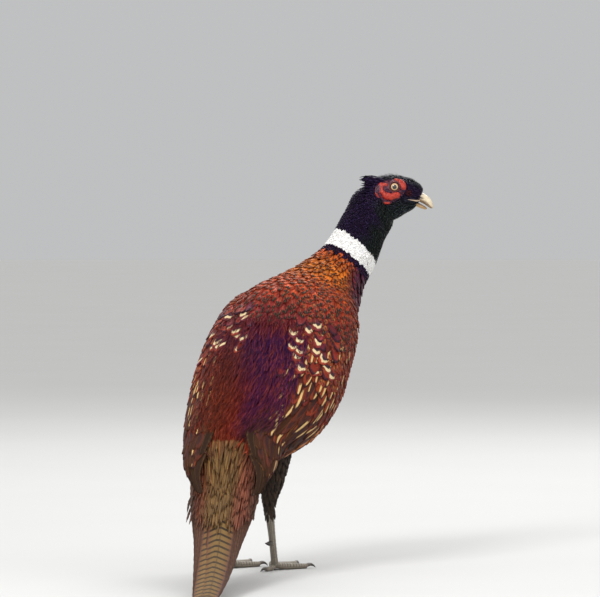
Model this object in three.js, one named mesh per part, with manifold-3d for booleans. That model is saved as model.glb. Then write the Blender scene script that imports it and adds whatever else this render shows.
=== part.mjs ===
// A cock common pheasant, life size, standing with its trunk pitched up and its head turned to the right.
// Millimetres, +Z up, +Y the way the tail's line leads to the breast, +X the side to which the head is turned.
import * as THREE from "three";
import { mergeVertices } from "three/addons/utils/BufferGeometryUtils.js";
import Module from "manifold-3d";

const wasm = await Module();
wasm.setup();

// Driving dimensions. Headings turn from +Y towards +X and pitches lift from the floor, in degrees.
const GAP = 0.35;
// Each row is a cross-section: its centre, heading, pitch, half width, and its reach towards back and belly.
const STATION = ["x", "y", "z", "heading", "pitch", "wide", "back", "belly"];
// Trunk and neck, from the rump to the nape, which is inside the head.
const BODY = [
  [-40, -78, 118, 6, 40, 20, 13, 17],
  [-28, -52, 139, 12, 43, 45, 28, 38],
  [-9, -20, 166, 19, 46, 64, 43, 57],
  [7, 10, 201, 24, 49, 73, 53, 66],
  [20, 38, 236, 29, 50, 73, 58, 67],
  [37, 62, 269, 35, 50, 67, 58, 63],
  [61, 80, 298, 46, 50, 48, 40, 50],
  [83, 90, 325, 57, 50, 32, 28, 36],
  [99, 96, 346, 66, 51, 28, 27, 30],
  [111, 99, 371, 76, 53, 25.5, 25, 27],
  [122, 101, 393, 84, 50, 22, 21, 27],
  [133, 102, 406, 90, 30, 11, 10, 12],
];
// The white ring, between these rows of the body. It leans by an angle, so that it is lower at the throat.
const RING = { low: 7.68, high: 8.28, lean: 11 };
// The wings' line past the rump, from their tips up to the row where they meet the body's line.
const WING_END = [
  [-33, -126, 92, 3, 34, 26, 10, 9],
  [-34, -103, 107, 5, 37, 34, 15, 16],
  [-33, -79, 121, 8, 40, 40, 21, 26],
];
const WING = { shoulder: 6, thick: 9.5, edge: 1.1, lift: 0.7 };
// Angles of the wing's upper and lower edge from the back's middle, evenly spaced from shoulder to tip.
const WING_TOP = [62, 42, 30, 28, 34, 50, 74];
const WING_LOW = [106, 120, 128, 130, 128, 120, 104];
const HEAD_Y = 102;
const HEAD = [
  [112, HEAD_Y, 407, 90, -6, 12, 11, 13],
  [122, HEAD_Y, 407, 90, -8, 16, 15, 19],
  [134, HEAD_Y, 406.5, 90, -10, 17, 18.5, 28],
  [144, HEAD_Y, 406, 90, -12, 16.5, 19.5, 31],
  [155, HEAD_Y, 405, 90, -15, 14.5, 18.5, 26.5],
  [165, HEAD_Y, 403, 90, -20, 11.5, 15.5, 18.5],
  [174, HEAD_Y, 400, 90, -26, 7, 10, 10],
];
const UPPER_BILL = [
  [167, HEAD_Y, 402.5, 90, -22, 6.6, 7, 4],
  [174, HEAD_Y, 400.5, 90, -28, 5.8, 6.5, 3.8],
  [181, HEAD_Y, 396.5, 90, -40, 4.2, 5.2, 3.6],
  [186.5, HEAD_Y, 390, 90, -58, 1.6, 2.6, 2.2],
];
const LOWER_BILL = [
  [163, HEAD_Y, 397, 90, -22, 5.6, 2.6, 3],
  [172, HEAD_Y, 393.3, 90, -24, 4.8, 2.2, 2.6],
  [180.5, HEAD_Y, 389.3, 90, -30, 2.8, 1.6, 1.8],
];
const EYE = { x: 144.5, z: 413.5, side: 13.2, radius: 5.4 };
const EAR_TUFT = { root: [131, 417], tip: [104, 421], side: 11, thick: 4.2 };
// Bare red face: its centre, half length, half height and thickness.
const FACE = { x: 141, z: 408, long: 17.5, tall: 14.5, thick: 1.3 };
const TAIL = { root: [-36, -64, 139], heading: 3, length: 440, thick: 3.2, roof: 0.42, covered: 0.3 };
// Each tail strip's share of the length, its inner and outer edge at the root, and its outer edge at its end.
const TAIL_STRIPS = [
  { name: "middle", share: 1, inner: 0, outer: 16, end: 3 },
  { name: "inner", share: 0.84, inner: 16, outer: 25, end: 17 },
  { name: "second", share: 0.6, inner: 25, outer: 33, end: 27 },
  { name: "outer", share: 0.38, inner: 33, outer: 40, end: 35 },
];
// Feathers over and under the root of the tail.
const RUMP_COVERTS = [
  [-27, -46, 158, 12, 46, 30, 7, 14],
  [-32, -62, 146, 8, 44, 35, 9, 14],
  [-36, -86, 128, 5, 38, 33, 8, 10],
  [-37, -118, 104, 3, 33, 24, 5, 5],
  [-39, -150, 84, 3, 30, 9, 3, 2],
];
const VENT_COVERTS = [
  [-24, -36, 128, 14, 40, 26, 12, 15],
  [-32, -60, 112, 8, 40, 27, 11, 14],
  [-36, -86, 97, 5, 38, 22, 8, 10],
  [-37, -112, 84, 3, 34, 8, 4, 4],
];
const STANCE = { x: -10, y: 20, heading: 24, apart: 26, ankle: 70, ankleBack: 15 };
// The thigh's bend and end, ahead of the ankle and above the floor, and its radii from the top down.
const THIGH = { ahead: [30, 9, 1], height: [158, 104, 75], radii: [23, 14.5, 6.8] };
const SHANK = { top: 5.2, low: 3.9, foot: 5.5 };
const TOES = [
  { name: "inner", turn: -30, long: 38, radius: 3.4 },
  { name: "middle", turn: 2, long: 50, radius: 3.7 },
  { name: "outer", turn: 34, long: 41, radius: 3.3 },
  { name: "hind", turn: 186, long: 19, radius: 2.6 },
];
const CLAW = { long: 11, radius: 2.1 };
const SPUR = { height: 27, long: 13, radius: 3.1 };

const finish = {
  head: { color: 0x16322c, roughness: 0.35, metalness: 0.2 },
  ring: { color: 0xf2efe6, roughness: 0.8, metalness: 0 },
  body: { color: 0x7c2f14, roughness: 0.6, metalness: 0.05 },
  wing: { color: 0x84502c, roughness: 0.7, metalness: 0 },
  tail: { color: 0x9a7a45, roughness: 0.7, metalness: 0 },
  dark: { color: 0x2a1a12, roughness: 0.8, metalness: 0 },
  face: { color: 0xb01510, roughness: 0.55, metalness: 0 },
  bill: { color: 0xd9cfa4, roughness: 0.45, metalness: 0 },
  eye: { color: 0xb9803a, roughness: 0.1, metalness: 0 },
  leg: { color: 0x8c8878, roughness: 0.6, metalness: 0 },
  claw: { color: 0x2e2a26, roughness: 0.4, metalness: 0 },
};

const bird = new THREE.Group();
const rad = THREE.MathUtils.degToRad;
const { clamp, lerp } = THREE.MathUtils;
const vec = (...p) => new THREE.Vector3(...p);
const sides = [
  { name: "right", sign: 1 },
  { name: "left", sign: -1 },
];

// Smooth value of a list of numbers at a place counted in rows.
function smooth(list, spot) {
  const i = clamp(Math.floor(spot), 0, list.length - 2);
  const f = clamp(spot - i, 0, 1);
  const at = (k) => list[clamp(k, 0, list.length - 1)];
  const [a, b, c, d] = [at(i - 1), at(i), at(i + 1), at(i + 2)];
  return b + 0.5 * f * (c - a + f * (2 * a - 5 * b + 4 * c - d + f * (3 * (b - c) + d - a)));
}

// A cross-section's directions: along the body, to its right and towards its back.
function directions(heading, pitch) {
  const [h, p] = [rad(heading), rad(pitch)];
  const along = vec(Math.cos(p) * Math.sin(h), Math.cos(p) * Math.cos(h), Math.sin(p));
  const right = vec(Math.cos(h), -Math.sin(h), 0);
  return { along, right, up: right.clone().cross(along) };
}

// The cross-section of a table of stations at a place counted in rows.
function section(table, spot) {
  const s = {};
  STATION.forEach((key, i) => (s[key] = smooth(table.map((row) => row[i]), spot)));
  return { ...s, ...directions(s.heading, s.pitch), centre: vec(s.x, s.y, s.z) };
}

// A point of a cross-section at an angle from its back towards its right, moved out by grow.
function rimPoint(s, angle, grow = 0, size = 1) {
  const [sin, cos] = [Math.sin(angle), Math.cos(angle)];
  const tall = cos > 0 ? s.back : s.belly;
  return s.centre
    .clone()
    .addScaledVector(s.right, sin * (s.wide * size + grow))
    .addScaledVector(s.up, cos * (tall * size + grow));
}

// A geometry as a solid with its faces pointing out.
function solidOf(geometry) {
  geometry.deleteAttribute("normal");
  geometry.deleteAttribute("uv");
  const merged = mergeVertices(geometry, 1e-3);
  const vertProperties = new Float32Array(merged.attributes.position.array);
  const triVerts = new Uint32Array(merged.index.array);
  const made = () => new wasm.Manifold(new wasm.Mesh({ numProp: 3, vertProperties, triVerts }));
  if (made().volume() > 0) return made();
  for (let i = 0; i < triVerts.length; i += 3) triVerts.subarray(i, i + 3).reverse();
  return made();
}

// Moves each vertex of a geometry to where place says.
function shaped(geometry, place) {
  const p = geometry.attributes.position;
  const v = vec();
  for (let i = 0; i < p.count; i++) {
    place(v.fromBufferAttribute(p, i)).toArray(p.array, i * 3);
  }
  return solidOf(geometry);
}

// A closed skin over a table's cross-sections, rounded off over a share of its length at each end.
function loft(table, { around, lengthwise, ends, grow = 0 }) {
  return shaped(new THREE.SphereGeometry(1, around, lengthwise), (v) => {
    const u = (1 - clamp(v.y, -1, 1)) / 2;
    const [a, b] = [Math.min(1, u / ends[0]), Math.min(1, (1 - u) / ends[1])];
    const size = Math.sqrt(Math.max(0, (2 * a - a * a) * (2 * b - b * b)));
    const s = section(table, u * (table.length - 1));
    return rimPoint(s, Math.atan2(v.x, v.z), grow * Math.min(1, size * 3), size);
  });
}

// A closed slab: place gets its share along, through and across, each from 0 to 1.
function slab(steps, place) {
  const box = new THREE.BoxGeometry(1, 1, 1, ...steps);
  return shaped(box, (v) => place(v.x + 0.5, v.y + 0.5, v.z + 0.5));
}

// A round rod along points, with evenly spaced radii, closed at both ends.
function rod(points, radii, around = 8, lengthwise = 6) {
  const curve = new THREE.CatmullRomCurve3(points);
  return shaped(new THREE.SphereGeometry(1, around, lengthwise), (v) => {
    const u = Math.acos(clamp(v.y, -1, 1)) / Math.PI;
    const along = curve.getTangent(u);
    const side = vec(-along.y, along.x, 0.001).normalize();
    const other = along.clone().cross(side).normalize();
    const radius = smooth(radii, u * (radii.length - 1)) * Math.min(1, 1.25 * Math.sqrt(Math.sin(Math.PI * u)));
    const angle = Math.atan2(v.x, v.z);
    return curve
      .getPoint(u)
      .addScaledVector(side, Math.cos(angle) * radius)
      .addScaledVector(other, Math.sin(angle) * radius);
  });
}

// All that lies behind a leaning cross-section of the body, moved forward by offset.
function behind(spot, offset) {
  const reach = 400;
  const s = section(BODY, spot);
  const box = new THREE.BoxGeometry(reach, reach, reach);
  const lean = THREE.MathUtils.degToRad(RING.lean);
  const along = s.along.clone().applyAxisAngle(s.right, -lean);
  const up = s.up.clone().applyAxisAngle(s.right, -lean);
  box.applyMatrix4(new THREE.Matrix4().makeBasis(s.right, up, along.clone().negate()));
  box.translate(...s.centre.addScaledVector(along, offset - reach / 2).toArray());
  return solidOf(box);
}

// Names a solid's largest piece as a node of the bird.
function add(name, solid, look) {
  const [largest] = solid.decompose().sort((a, b) => b.volume() - a.volume());
  const mesh = largest.getMesh();
  const geometry = new THREE.BufferGeometry();
  geometry.setAttribute("position", new THREE.BufferAttribute(mesh.vertProperties, 3));
  geometry.setIndex(new THREE.BufferAttribute(mesh.triVerts, 1));
  geometry.computeVertexNormals();
  const made = new THREE.Mesh(geometry, new THREE.MeshStandardMaterial(finish[look]));
  made.name = name;
  bird.add(made);
}

const without = (solid, others) => others.reduce((left, other) => left.subtract(other), solid);

// Tail: the half turn of an arc of this length that falls by drop and levels out at its end.
function arcFor(drop, length) {
  let [low, high] = [0.05, 1.4];
  while (high - low > 1e-6) {
    const mid = (low + high) / 2;
    if ((length * (1 - Math.cos(mid))) / mid < drop) low = mid;
    else high = mid;
  }
  return low;
}
const tailArc = arcFor(TAIL.root[2] - TAIL.thick / 2, TAIL.length);

// A point of the tail: its share of the length, its place across in millimetres and its share of the thickness.
function tailPoint(share, across, through, grow = 0) {
  const droop = tailArc * (1 - share);
  const radius = TAIL.length / tailArc;
  const run = radius * (Math.sin(tailArc) - Math.sin(droop));
  const fall = radius * (Math.cos(droop) - Math.cos(tailArc));
  const level = directions(TAIL.heading, 0).along;
  const { right, up } = directions(TAIL.heading, THREE.MathUtils.radToDeg(droop));
  const roof = -TAIL.roof * Math.abs(across) * (1 - share) ** 0.7;
  return vec(...TAIL.root)
    .addScaledVector(level, -run)
    .add(vec(0, 0, -fall))
    .addScaledVector(right, across)
    .addScaledVector(up, roof + (through - 0.5) * (TAIL.thick + 2 * grow));
}

function tailStrip({ share, inner, outer, end }, sign) {
  const middle = inner === 0;
  const [near, far] = [middle ? -outer : inner + GAP / 2, outer - GAP / 2];
  const nearEnd = middle ? -end : inner + (end - inner) * 0.2;
  return slab([14, 1, middle ? 4 : 1], (x, y, z) => {
    const taper = x ** 3;
    return tailPoint(x * share, sign * lerp(lerp(near, nearEnd, taper), lerp(far, end, taper), z), y);
  });
}

const tailWidth = TAIL_STRIPS.at(-1).outer + GAP;
const tailRoot = slab([5, 1, 6], (x, y, z) => tailPoint(x * TAIL.covered - 0.01, (2 * z - 1) * tailWidth, y, GAP));

// Trunk, ring and neck are one skin parted by thin cuts.
const headShape = { around: 18, lengthwise: 13, ends: [0.16, 0.1] };
const headSolid = loft(HEAD, headShape);
const headGrown = loft(HEAD, { ...headShape, grow: GAP });
const bodyShape = { around: 24, lengthwise: 28, ends: [0.1, 0.04] };
const bodySolid = loft(BODY, bodyShape);
const bodyGrown = loft(BODY, { ...bodyShape, grow: GAP });
const neck = without(bodySolid, [behind(RING.high, GAP), headGrown]);
const ring = bodySolid.subtract(behind(RING.low, GAP)).intersect(behind(RING.high, 0));
const trunk = bodySolid.intersect(behind(RING.low, 0)).subtract(tailRoot);

// Bill, eyes, bare face and ear tufts.
const billShape = { around: 12, lengthwise: 8, ends: [0.3, 0.3] };
const lowerBill = loft(LOWER_BILL, billShape).subtract(headGrown);
const upperBill = without(loft(UPPER_BILL, billShape), [headGrown, loft(LOWER_BILL, { ...billShape, grow: GAP })]);

function eyeBall(sign, grow = 0) {
  const ball = new THREE.SphereGeometry(EYE.radius + grow, 12, 8);
  ball.rotateX(Math.PI / 2);
  ball.translate(EYE.x, HEAD_Y - sign * EYE.side, EYE.z);
  return solidOf(ball);
}

// A shell over the head's side, cut to the outline of the bare red face and open at the eye.
function face(sign) {
  const { x, z, long, tall, thick } = FACE;
  const reach = 60;
  const outline = new THREE.Shape();
  outline.moveTo(-long, 3);
  outline.bezierCurveTo(-long * 0.9, tall * 0.95, long * 0.2, tall * 1.15, long * 0.82, tall * 0.72);
  outline.bezierCurveTo(long * 1.15, tall * 0.2, long * 0.6, -tall * 0.5, long * 0.1, -tall * 0.75);
  outline.bezierCurveTo(-long * 0.4, -tall * 1.1, -long * 1.05, -tall * 0.9, -long, 3);
  const column = new THREE.ExtrudeGeometry(outline, { depth: reach, bevelEnabled: false, curveSegments: 5 });
  column.rotateX(Math.PI / 2);
  column.translate(x, sign > 0 ? HEAD_Y - 1 : HEAD_Y + reach + 1, z);
  return loft(HEAD, { ...headShape, grow: thick + GAP })
    .subtract(headGrown)
    .intersect(solidOf(column))
    .subtract(eyeBall(sign, GAP))
    .subtract(bodyGrown);
}

function earTuft(sign) {
  const { root, tip, side, thick } = EAR_TUFT;
  const at = (share) => vec(lerp(root[0], tip[0], share), HEAD_Y - sign * (side + 2 * share), lerp(root[1], tip[1], share));
  const radii = [thick, thick * 1.05, thick * 0.7];
  const clear = loft(HEAD, { ...headShape, grow: FACE.thick + 3 * GAP });
  return rod([at(0), at(0.5), at(1)], radii, 8, 7).subtract(clear).subtract(bodyGrown);
}

// Wings: shells on the trunk's sides, from the shoulder past the rump.
const wingEnd = [...WING_END, ...BODY.slice(1, 4)];
function wingSection(x) {
  const spot = WING.shoulder - x * (WING.shoulder - 1 + WING_END.length);
  return spot >= 1 ? section(BODY, spot) : section(wingEnd, spot + WING_END.length - 1);
}

function wing(sign) {
  const last = WING_TOP.length - 1;
  return slab([16, 1, 8], (x, y, z) => {
    const [top, low] = [smooth(WING_TOP, x * last), smooth(WING_LOW, x * last)];
    const nose = Math.sqrt(Math.min(1, x / 0.1 + 0.02));
    const tip = Math.sqrt(Math.min(1, (1 - x) / 0.22 + 0.01));
    const angle = rad((top + low) / 2 + (z - 0.5) * (low - top) * nose * tip);
    const swell = Math.sin(Math.PI * z) ** 0.6 * nose * lerp(0.35, 1, tip);
    return rimPoint(wingSection(x), sign * angle, GAP + WING.lift + y * lerp(WING.edge, WING.thick, swell));
  });
}

// Legs: feathered thigh, bare shank with its spur, and toes with flat soles on the floor.
const floorBox = new THREE.BoxGeometry(900, 1200, 60);
floorBox.translate(0, 0, -30);
const underFloor = solidOf(floorBox);

function leg({ name, sign }) {
  const { along, right } = directions(STANCE.heading, 0);
  const foot = vec(STANCE.x, STANCE.y, SHANK.foot).addScaledVector(right, sign * STANCE.apart);
  const ankle = foot.clone().addScaledVector(along, -STANCE.ankleBack).setZ(STANCE.ankle);
  const bends = THIGH.ahead.map((ahead, i) => ankle.clone().addScaledVector(along, ahead).setZ(THIGH.height[i]));
  const shank = rod([bends[2], ankle.clone().lerp(foot, 0.5), foot], [SHANK.top, SHANK.low, SHANK.low * 1.15], 10, 6);
  const spurRoot = ankle.clone().lerp(foot, 1 - SPUR.height / STANCE.ankle);
  const spurTip = spurRoot.clone().addScaledVector(along, -SPUR.long).addScaledVector(right, -sign * 3);
  const spur = rod([spurRoot, spurRoot.clone().lerp(spurTip, 0.5), spurTip], [SPUR.radius, SPUR.radius * 0.4], 6, 4);
  add(`thigh_${name}`, without(rod(bends, THIGH.radii, 14, 9), [bodyGrown, shank, ...wings]), "dark");
  add(`shank_${name}`, shank, "leg");
  add(`spur_${name}`, spur.subtract(shank), "claw");
  const taken = [shank, underFloor];
  for (const toe of TOES) {
    const r = toe.radius;
    const way = directions(STANCE.heading + sign * toe.turn, 0).along;
    const at = (reach, z) => foot.clone().addScaledVector(way, reach).setZ(z);
    const line = [at(0, SHANK.foot), at(toe.long * 0.3, r * 1.1), at(toe.long * 0.7, r * 0.85), at(toe.long, r * 0.8)];
    const solid = rod(line, [r, r * 1.05, r * 0.95, r * 0.8], 8, 7);
    const clawLine = [at(toe.long - 3, r * 0.9), at(toe.long + CLAW.long * 0.45, r * 0.95), at(toe.long + CLAW.long, 0.9)];
    const claw = rod(clawLine, [CLAW.radius, CLAW.radius * 0.85, CLAW.radius * 0.35], 6, 4);
    add(`toe_${toe.name}_${name}`, without(solid, taken), "leg");
    add(`claw_${toe.name}_${name}`, without(claw, [solid, underFloor]), "claw");
    taken.push(solid);
  }
}

const wings = sides.map(({ sign }) => wing(sign));
const covertShape = { around: 14, lengthwise: 8, ends: [0.2, 0.4] };
const rumpCoverts = loft(RUMP_COVERTS, covertShape);
const ventCoverts = loft(VENT_COVERTS, covertShape);

add("head", without(headSolid, [eyeBall(1, GAP), eyeBall(-1, GAP)]), "head");
add("bill_upper", upperBill, "bill");
add("bill_lower", lowerBill, "bill");
for (const { name, sign } of sides) {
  add(`eye_${name}`, eyeBall(sign), "eye");
  add(`face_${name}`, face(sign), "face");
  add(`ear_tuft_${name}`, earTuft(sign), "head");
}
add("neck", neck, "head");
add("neck_ring", ring, "ring");
add("trunk", trunk, "body");
sides.forEach(({ name }, i) => add(`wing_${name}`, wings[i].subtract(tailRoot), "wing"));
add("rump_coverts", without(rumpCoverts, [bodyGrown, tailRoot, ...wings]), "body");
add("vent_coverts", without(ventCoverts, [bodyGrown, tailRoot, rumpCoverts, ...wings]), "dark");
for (const strip of TAIL_STRIPS) {
  if (strip.inner === 0) add(`tail_${strip.name}`, tailStrip(strip, 1), "tail");
  else for (const { name, sign } of sides) add(`tail_${strip.name}_${name}`, tailStrip(strip, sign), "tail");
}
sides.forEach(leg);

// The origin goes to the middle of the bird's box, on the floor.
const box = new THREE.Box3().setFromObject(bird);
const middle = box.getCenter(vec());
for (const { geometry } of bird.children) geometry.translate(-middle.x, -middle.y, -box.min.z);

export default bird;
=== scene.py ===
# A cock common pheasant as a museum model: a skin, feathers in their tracts, bare face, bill, eyes and legs.
import math

import bpy
import numpy as np
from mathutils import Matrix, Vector
from mathutils.kdtree import KDTree


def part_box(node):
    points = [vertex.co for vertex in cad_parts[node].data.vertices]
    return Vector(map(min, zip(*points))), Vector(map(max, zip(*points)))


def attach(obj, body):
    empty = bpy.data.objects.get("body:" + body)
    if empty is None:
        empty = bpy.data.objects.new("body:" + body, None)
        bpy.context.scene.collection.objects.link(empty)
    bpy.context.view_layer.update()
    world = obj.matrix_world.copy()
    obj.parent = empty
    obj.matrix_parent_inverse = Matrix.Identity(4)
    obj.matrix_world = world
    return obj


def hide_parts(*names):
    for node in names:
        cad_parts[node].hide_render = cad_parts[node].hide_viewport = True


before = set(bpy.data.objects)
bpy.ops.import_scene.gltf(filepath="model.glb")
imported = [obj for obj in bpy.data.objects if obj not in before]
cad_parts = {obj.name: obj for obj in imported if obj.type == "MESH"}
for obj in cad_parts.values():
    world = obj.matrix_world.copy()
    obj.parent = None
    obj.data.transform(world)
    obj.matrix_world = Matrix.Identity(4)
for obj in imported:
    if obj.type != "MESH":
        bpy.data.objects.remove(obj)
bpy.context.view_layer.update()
rng = np.random.default_rng(11)
MM = 0.001

# Driving dimensions, in millimetres and degrees, in the bird's own place before it is centred on the floor.
# Each row is a cross-section: its centre, heading, pitch, half width, and its reach towards back and belly.
BODY = np.array([
    [-40, -78, 118, 6, 40, 20, 13, 17],
    [-28, -52, 139, 12, 43, 45, 28, 38],
    [-9, -20, 166, 19, 46, 64, 43, 57],
    [7, 10, 201, 24, 49, 73, 53, 66],
    [20, 38, 236, 29, 50, 73, 58, 67],
    [37, 62, 269, 35, 50, 67, 58, 63],
    [61, 80, 298, 46, 50, 48, 40, 50],
    [83, 90, 325, 57, 50, 32, 28, 36],
    [99, 96, 346, 66, 51, 28, 27, 30],
    [111, 99, 371, 76, 53, 25.5, 25, 27],
    [122, 101, 393, 84, 50, 22, 21, 27],
    [133, 102, 406, 90, 30, 11, 10, 12],
])
WING_END = np.array([
    [-33, -126, 92, 3, 34, 26, 10, 9],
    [-34, -103, 107, 5, 37, 34, 15, 16],
    [-33, -79, 121, 8, 40, 40, 21, 26],
])
WING = {"shoulder": 6, "thick": 9.5, "edge": 1.1, "lift": 1.05}
WING_TOP = [62, 42, 30, 28, 34, 50, 74]
WING_LOW = [106, 120, 128, 130, 128, 120, 104]
HEAD_Y = 102
HEAD = np.array([
    [112, HEAD_Y, 407, 90, -6, 12, 11, 13],
    [122, HEAD_Y, 407, 90, -8, 16, 15, 19],
    [134, HEAD_Y, 406.5, 90, -10, 17, 18.5, 28],
    [144, HEAD_Y, 406, 90, -12, 16.5, 19.5, 31],
    [155, HEAD_Y, 405, 90, -15, 14.5, 18.5, 26.5],
    [165, HEAD_Y, 403, 90, -20, 11.5, 15.5, 18.5],
    [174, HEAD_Y, 400, 90, -26, 7, 10, 10],
])
UPPER_BILL = np.array([
    [167, HEAD_Y, 402.5, 90, -22, 6.6, 7, 4],
    [174, HEAD_Y, 400.5, 90, -28, 5.8, 6.5, 3.8],
    [181, HEAD_Y, 396.5, 90, -40, 4.2, 5.2, 3.6],
    [186.5, HEAD_Y, 390, 90, -58, 1.6, 2.6, 2.2],
])
LOWER_BILL = np.array([
    [163, HEAD_Y, 397, 90, -22, 5.6, 2.6, 3],
    [172, HEAD_Y, 393.3, 90, -24, 4.8, 2.2, 2.6],
    [180.5, HEAD_Y, 389.3, 90, -30, 2.8, 1.6, 1.8],
])
RUMP_COVERTS = np.array([
    [-27, -46, 158, 12, 46, 30, 7, 14],
    [-32, -62, 146, 8, 44, 35, 9, 14],
    [-36, -86, 128, 5, 38, 33, 8, 10],
    [-37, -118, 104, 3, 33, 24, 5, 5],
    [-39, -150, 84, 3, 30, 9, 3, 2],
])
VENT_COVERTS = np.array([
    [-24, -36, 128, 14, 40, 26, 12, 15],
    [-32, -60, 112, 8, 40, 27, 11, 14],
    [-36, -86, 97, 5, 38, 22, 8, 10],
    [-37, -112, 84, 3, 34, 8, 4, 4],
])
EYE = {"place": (144.5, 413.5), "side": 13.2, "radius": 5.4}
TAIL = {"root": (-36, -64, 139), "heading": 3, "length": 440, "thick": 3.2, "roof": 0.42}
STANCE = {"x": -10, "y": 20, "heading": 24, "apart": 26, "ankle": 70, "ankle_back": 15}
THIGH = {"ahead": (30, 9, 1, 2.6, 5.8), "height": (158, 104, 75, 60, 46), "radii": (20, 14.5, 7.6, 5.6, 4.6)}
SHANK = {"radii": (5.4, 4.9, 3.9, 3.9, 5.0), "long": 82, "foot": 5.5, "scute": 3.1}
# Each toe's turn from the way the bird stands, its length and its radius.
TOES = {"inner": (-30, 38, 3.4), "middle": (2, 50, 3.7), "outer": (34, 41, 3.3), "hind": (186, 19, 2.6)}
CLAW = {"long": 11, "radius": 2.1}
SPUR = {"height": 27, "long": 13, "radius": 3.1}
SIDES = {"right": 1, "left": -1}

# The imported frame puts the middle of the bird's box at the origin. The right eye tells how far that moved it.
low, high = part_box("eye_right")
EYE_MIDDLE = np.array([EYE["place"][0], HEAD_Y - EYE["side"], EYE["place"][1]])
HOME = EYE_MIDDLE - (np.array(low) + np.array(high)) / 2 / MM
HOME[2] = 0


# Surfaces: each takes two coordinates and a height above it, as arrays, and gives points in millimetres.
def smooth(table, spot):
    """Catmull-Rom value of a table's rows at places counted in rows."""
    table = np.asarray(table, float)
    last = len(table) - 1
    i = np.clip(np.floor(spot).astype(int), 0, last - 1)
    f = np.clip(spot - i, 0, 1)
    f = f[..., None] if table.ndim > 1 else f
    a, b, c, d = (table[np.clip(i + k, 0, last)] for k in (-1, 0, 1, 2))
    return b + 0.5 * f * (c - a + f * (2 * a - 5 * b + 4 * c - d + f * (3 * (b - c) + d - a)))


def directions(heading, pitch):
    h, p = np.radians(heading), np.radians(pitch)
    along = np.stack([np.cos(p) * np.sin(h), np.cos(p) * np.cos(h), np.sin(p)], -1)
    right = np.stack([np.cos(h), -np.sin(h), np.zeros_like(h)], -1)
    return along, right, np.cross(right, along)


def rim(rows, angle, height, size=1.0):
    """Points of cross-sections at an angle from the back towards the right."""
    _, right, up = directions(rows[..., 3], rows[..., 4])
    sin, cos = np.sin(angle), np.cos(angle)
    tall = np.where(cos > 0, rows[..., 6], rows[..., 7])
    return (rows[..., :3]
            + right * (sin * (rows[..., 5] * size + height))[..., None]
            + up * (cos * (tall * size + height))[..., None])


def loft(table, ends):
    """A closed surface over cross-sections, rounded at both ends. Its coordinates are row and angle."""
    last = len(table) - 1

    def surface(row, angle, height):
        u = np.clip(row / last, 0, 1)
        a, b = np.minimum(1, u / ends[0]), np.minimum(1, (1 - u) / ends[1])
        size = np.sqrt(np.maximum(1e-4, (2 * a - a * a) * (2 * b - b * b)))
        return rim(smooth(table, row), angle, height * np.minimum(1, size * 3), size)

    return surface


body = loft(BODY, (0.1, 0.04))
head = loft(HEAD, (0.16, 0.1))
rump = loft(RUMP_COVERTS, (0.2, 0.4))
vent = loft(VENT_COVERTS, (0.2, 0.4))
wing_end = np.vstack([WING_END, BODY[1:4]])
WING_ROWS = WING["shoulder"] - 1 + len(WING_END)


def wing_edges(x):
    """The angles of a folded wing's upper and lower edge, and how far its rounded front has opened."""
    spot = x * (len(WING_TOP) - 1)
    return smooth(WING_TOP, spot), smooth(WING_LOW, spot), np.sqrt(np.minimum(1, x / 0.1 + 0.02))


def wing(sign):
    """The outer face of a folded wing: 0 to 1 from shoulder to tip, and from its upper to its lower edge."""

    def surface(x, z, height):
        x = np.clip(x, 0, 1)
        spot = WING["shoulder"] - x * WING_ROWS
        on_body = smooth(BODY, spot)
        past = smooth(wing_end, np.minimum(spot + len(WING_END) - 1, 3.2))
        rows = np.where((spot >= 1)[..., None], on_body, past)
        top, bottom, nose = wing_edges(x)
        tip = np.sqrt(np.minimum(1, (1 - x) / 0.22 + 0.01))
        angle = np.radians((top + bottom) / 2 + (z - 0.5) * (bottom - top) * nose * tip)
        swell = np.sin(np.pi * np.clip(z, 0.001, 0.999)) ** 0.6 * nose * (0.35 + 0.65 * tip)
        depth = WING["edge"] + (WING["thick"] - WING["edge"]) * swell
        return rim(rows, sign * angle, WING["lift"] + depth + height)

    return surface


def coat(row, angle, height):
    """The body with the folded wings on it, by the body's own row and angle."""
    x = (WING["shoulder"] - row) / WING_ROWS
    top, bottom, nose = wing_edges(np.clip(x, 0, 1))
    side = np.abs(np.degrees(angle))
    z = np.clip((side - top) / (bottom - top), 0.001, 0.999)
    depth = WING["edge"] + (WING["thick"] - WING["edge"]) * np.sin(np.pi * z) ** 0.6 * nose
    over = fade(side, top - 14, top + 6) * fade(side, bottom + 14, bottom - 6) * fade(x, -0.05, 0.04)
    return body(row, angle, height + (WING["lift"] + depth) * over)


def fade(value, start, end):
    t = np.clip((value - start) / (end - start), 0, 1)
    return t * t * (3 - 2 * t)


def arc_for(drop, length):
    low_end, high_end = 0.05, 1.4
    while high_end - low_end > 1e-6:
        mid = (low_end + high_end) / 2
        if length * (1 - math.cos(mid)) / mid < drop:
            low_end = mid
        else:
            high_end = mid
    return low_end


TAIL_ARC = arc_for(TAIL["root"][2] - TAIL["thick"] / 2, TAIL["length"])


def tail(share, across, height):
    """The upper face of the tail: a share of its length, a place across in millimetres and a height."""
    droop = TAIL_ARC * (1 - np.clip(share, -0.1, 1))
    radius = TAIL["length"] / TAIL_ARC
    run = radius * (math.sin(TAIL_ARC) - np.sin(droop))
    fall = radius * (np.cos(droop) - math.cos(TAIL_ARC))
    heading = np.full_like(droop, TAIL["heading"])
    back, right, _ = directions(heading, np.zeros_like(droop))
    _, _, up = directions(heading, np.degrees(droop))
    roof = -TAIL["roof"] * np.abs(across) * np.maximum(0, 1 - share) ** 0.7
    root = np.array(TAIL["root"], float)
    return (root - back * run[..., None] - np.array([0, 0, 1]) * fall[..., None]
            + right * across[..., None] + up * (roof + TAIL["thick"] / 2 + height)[..., None])


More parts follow.
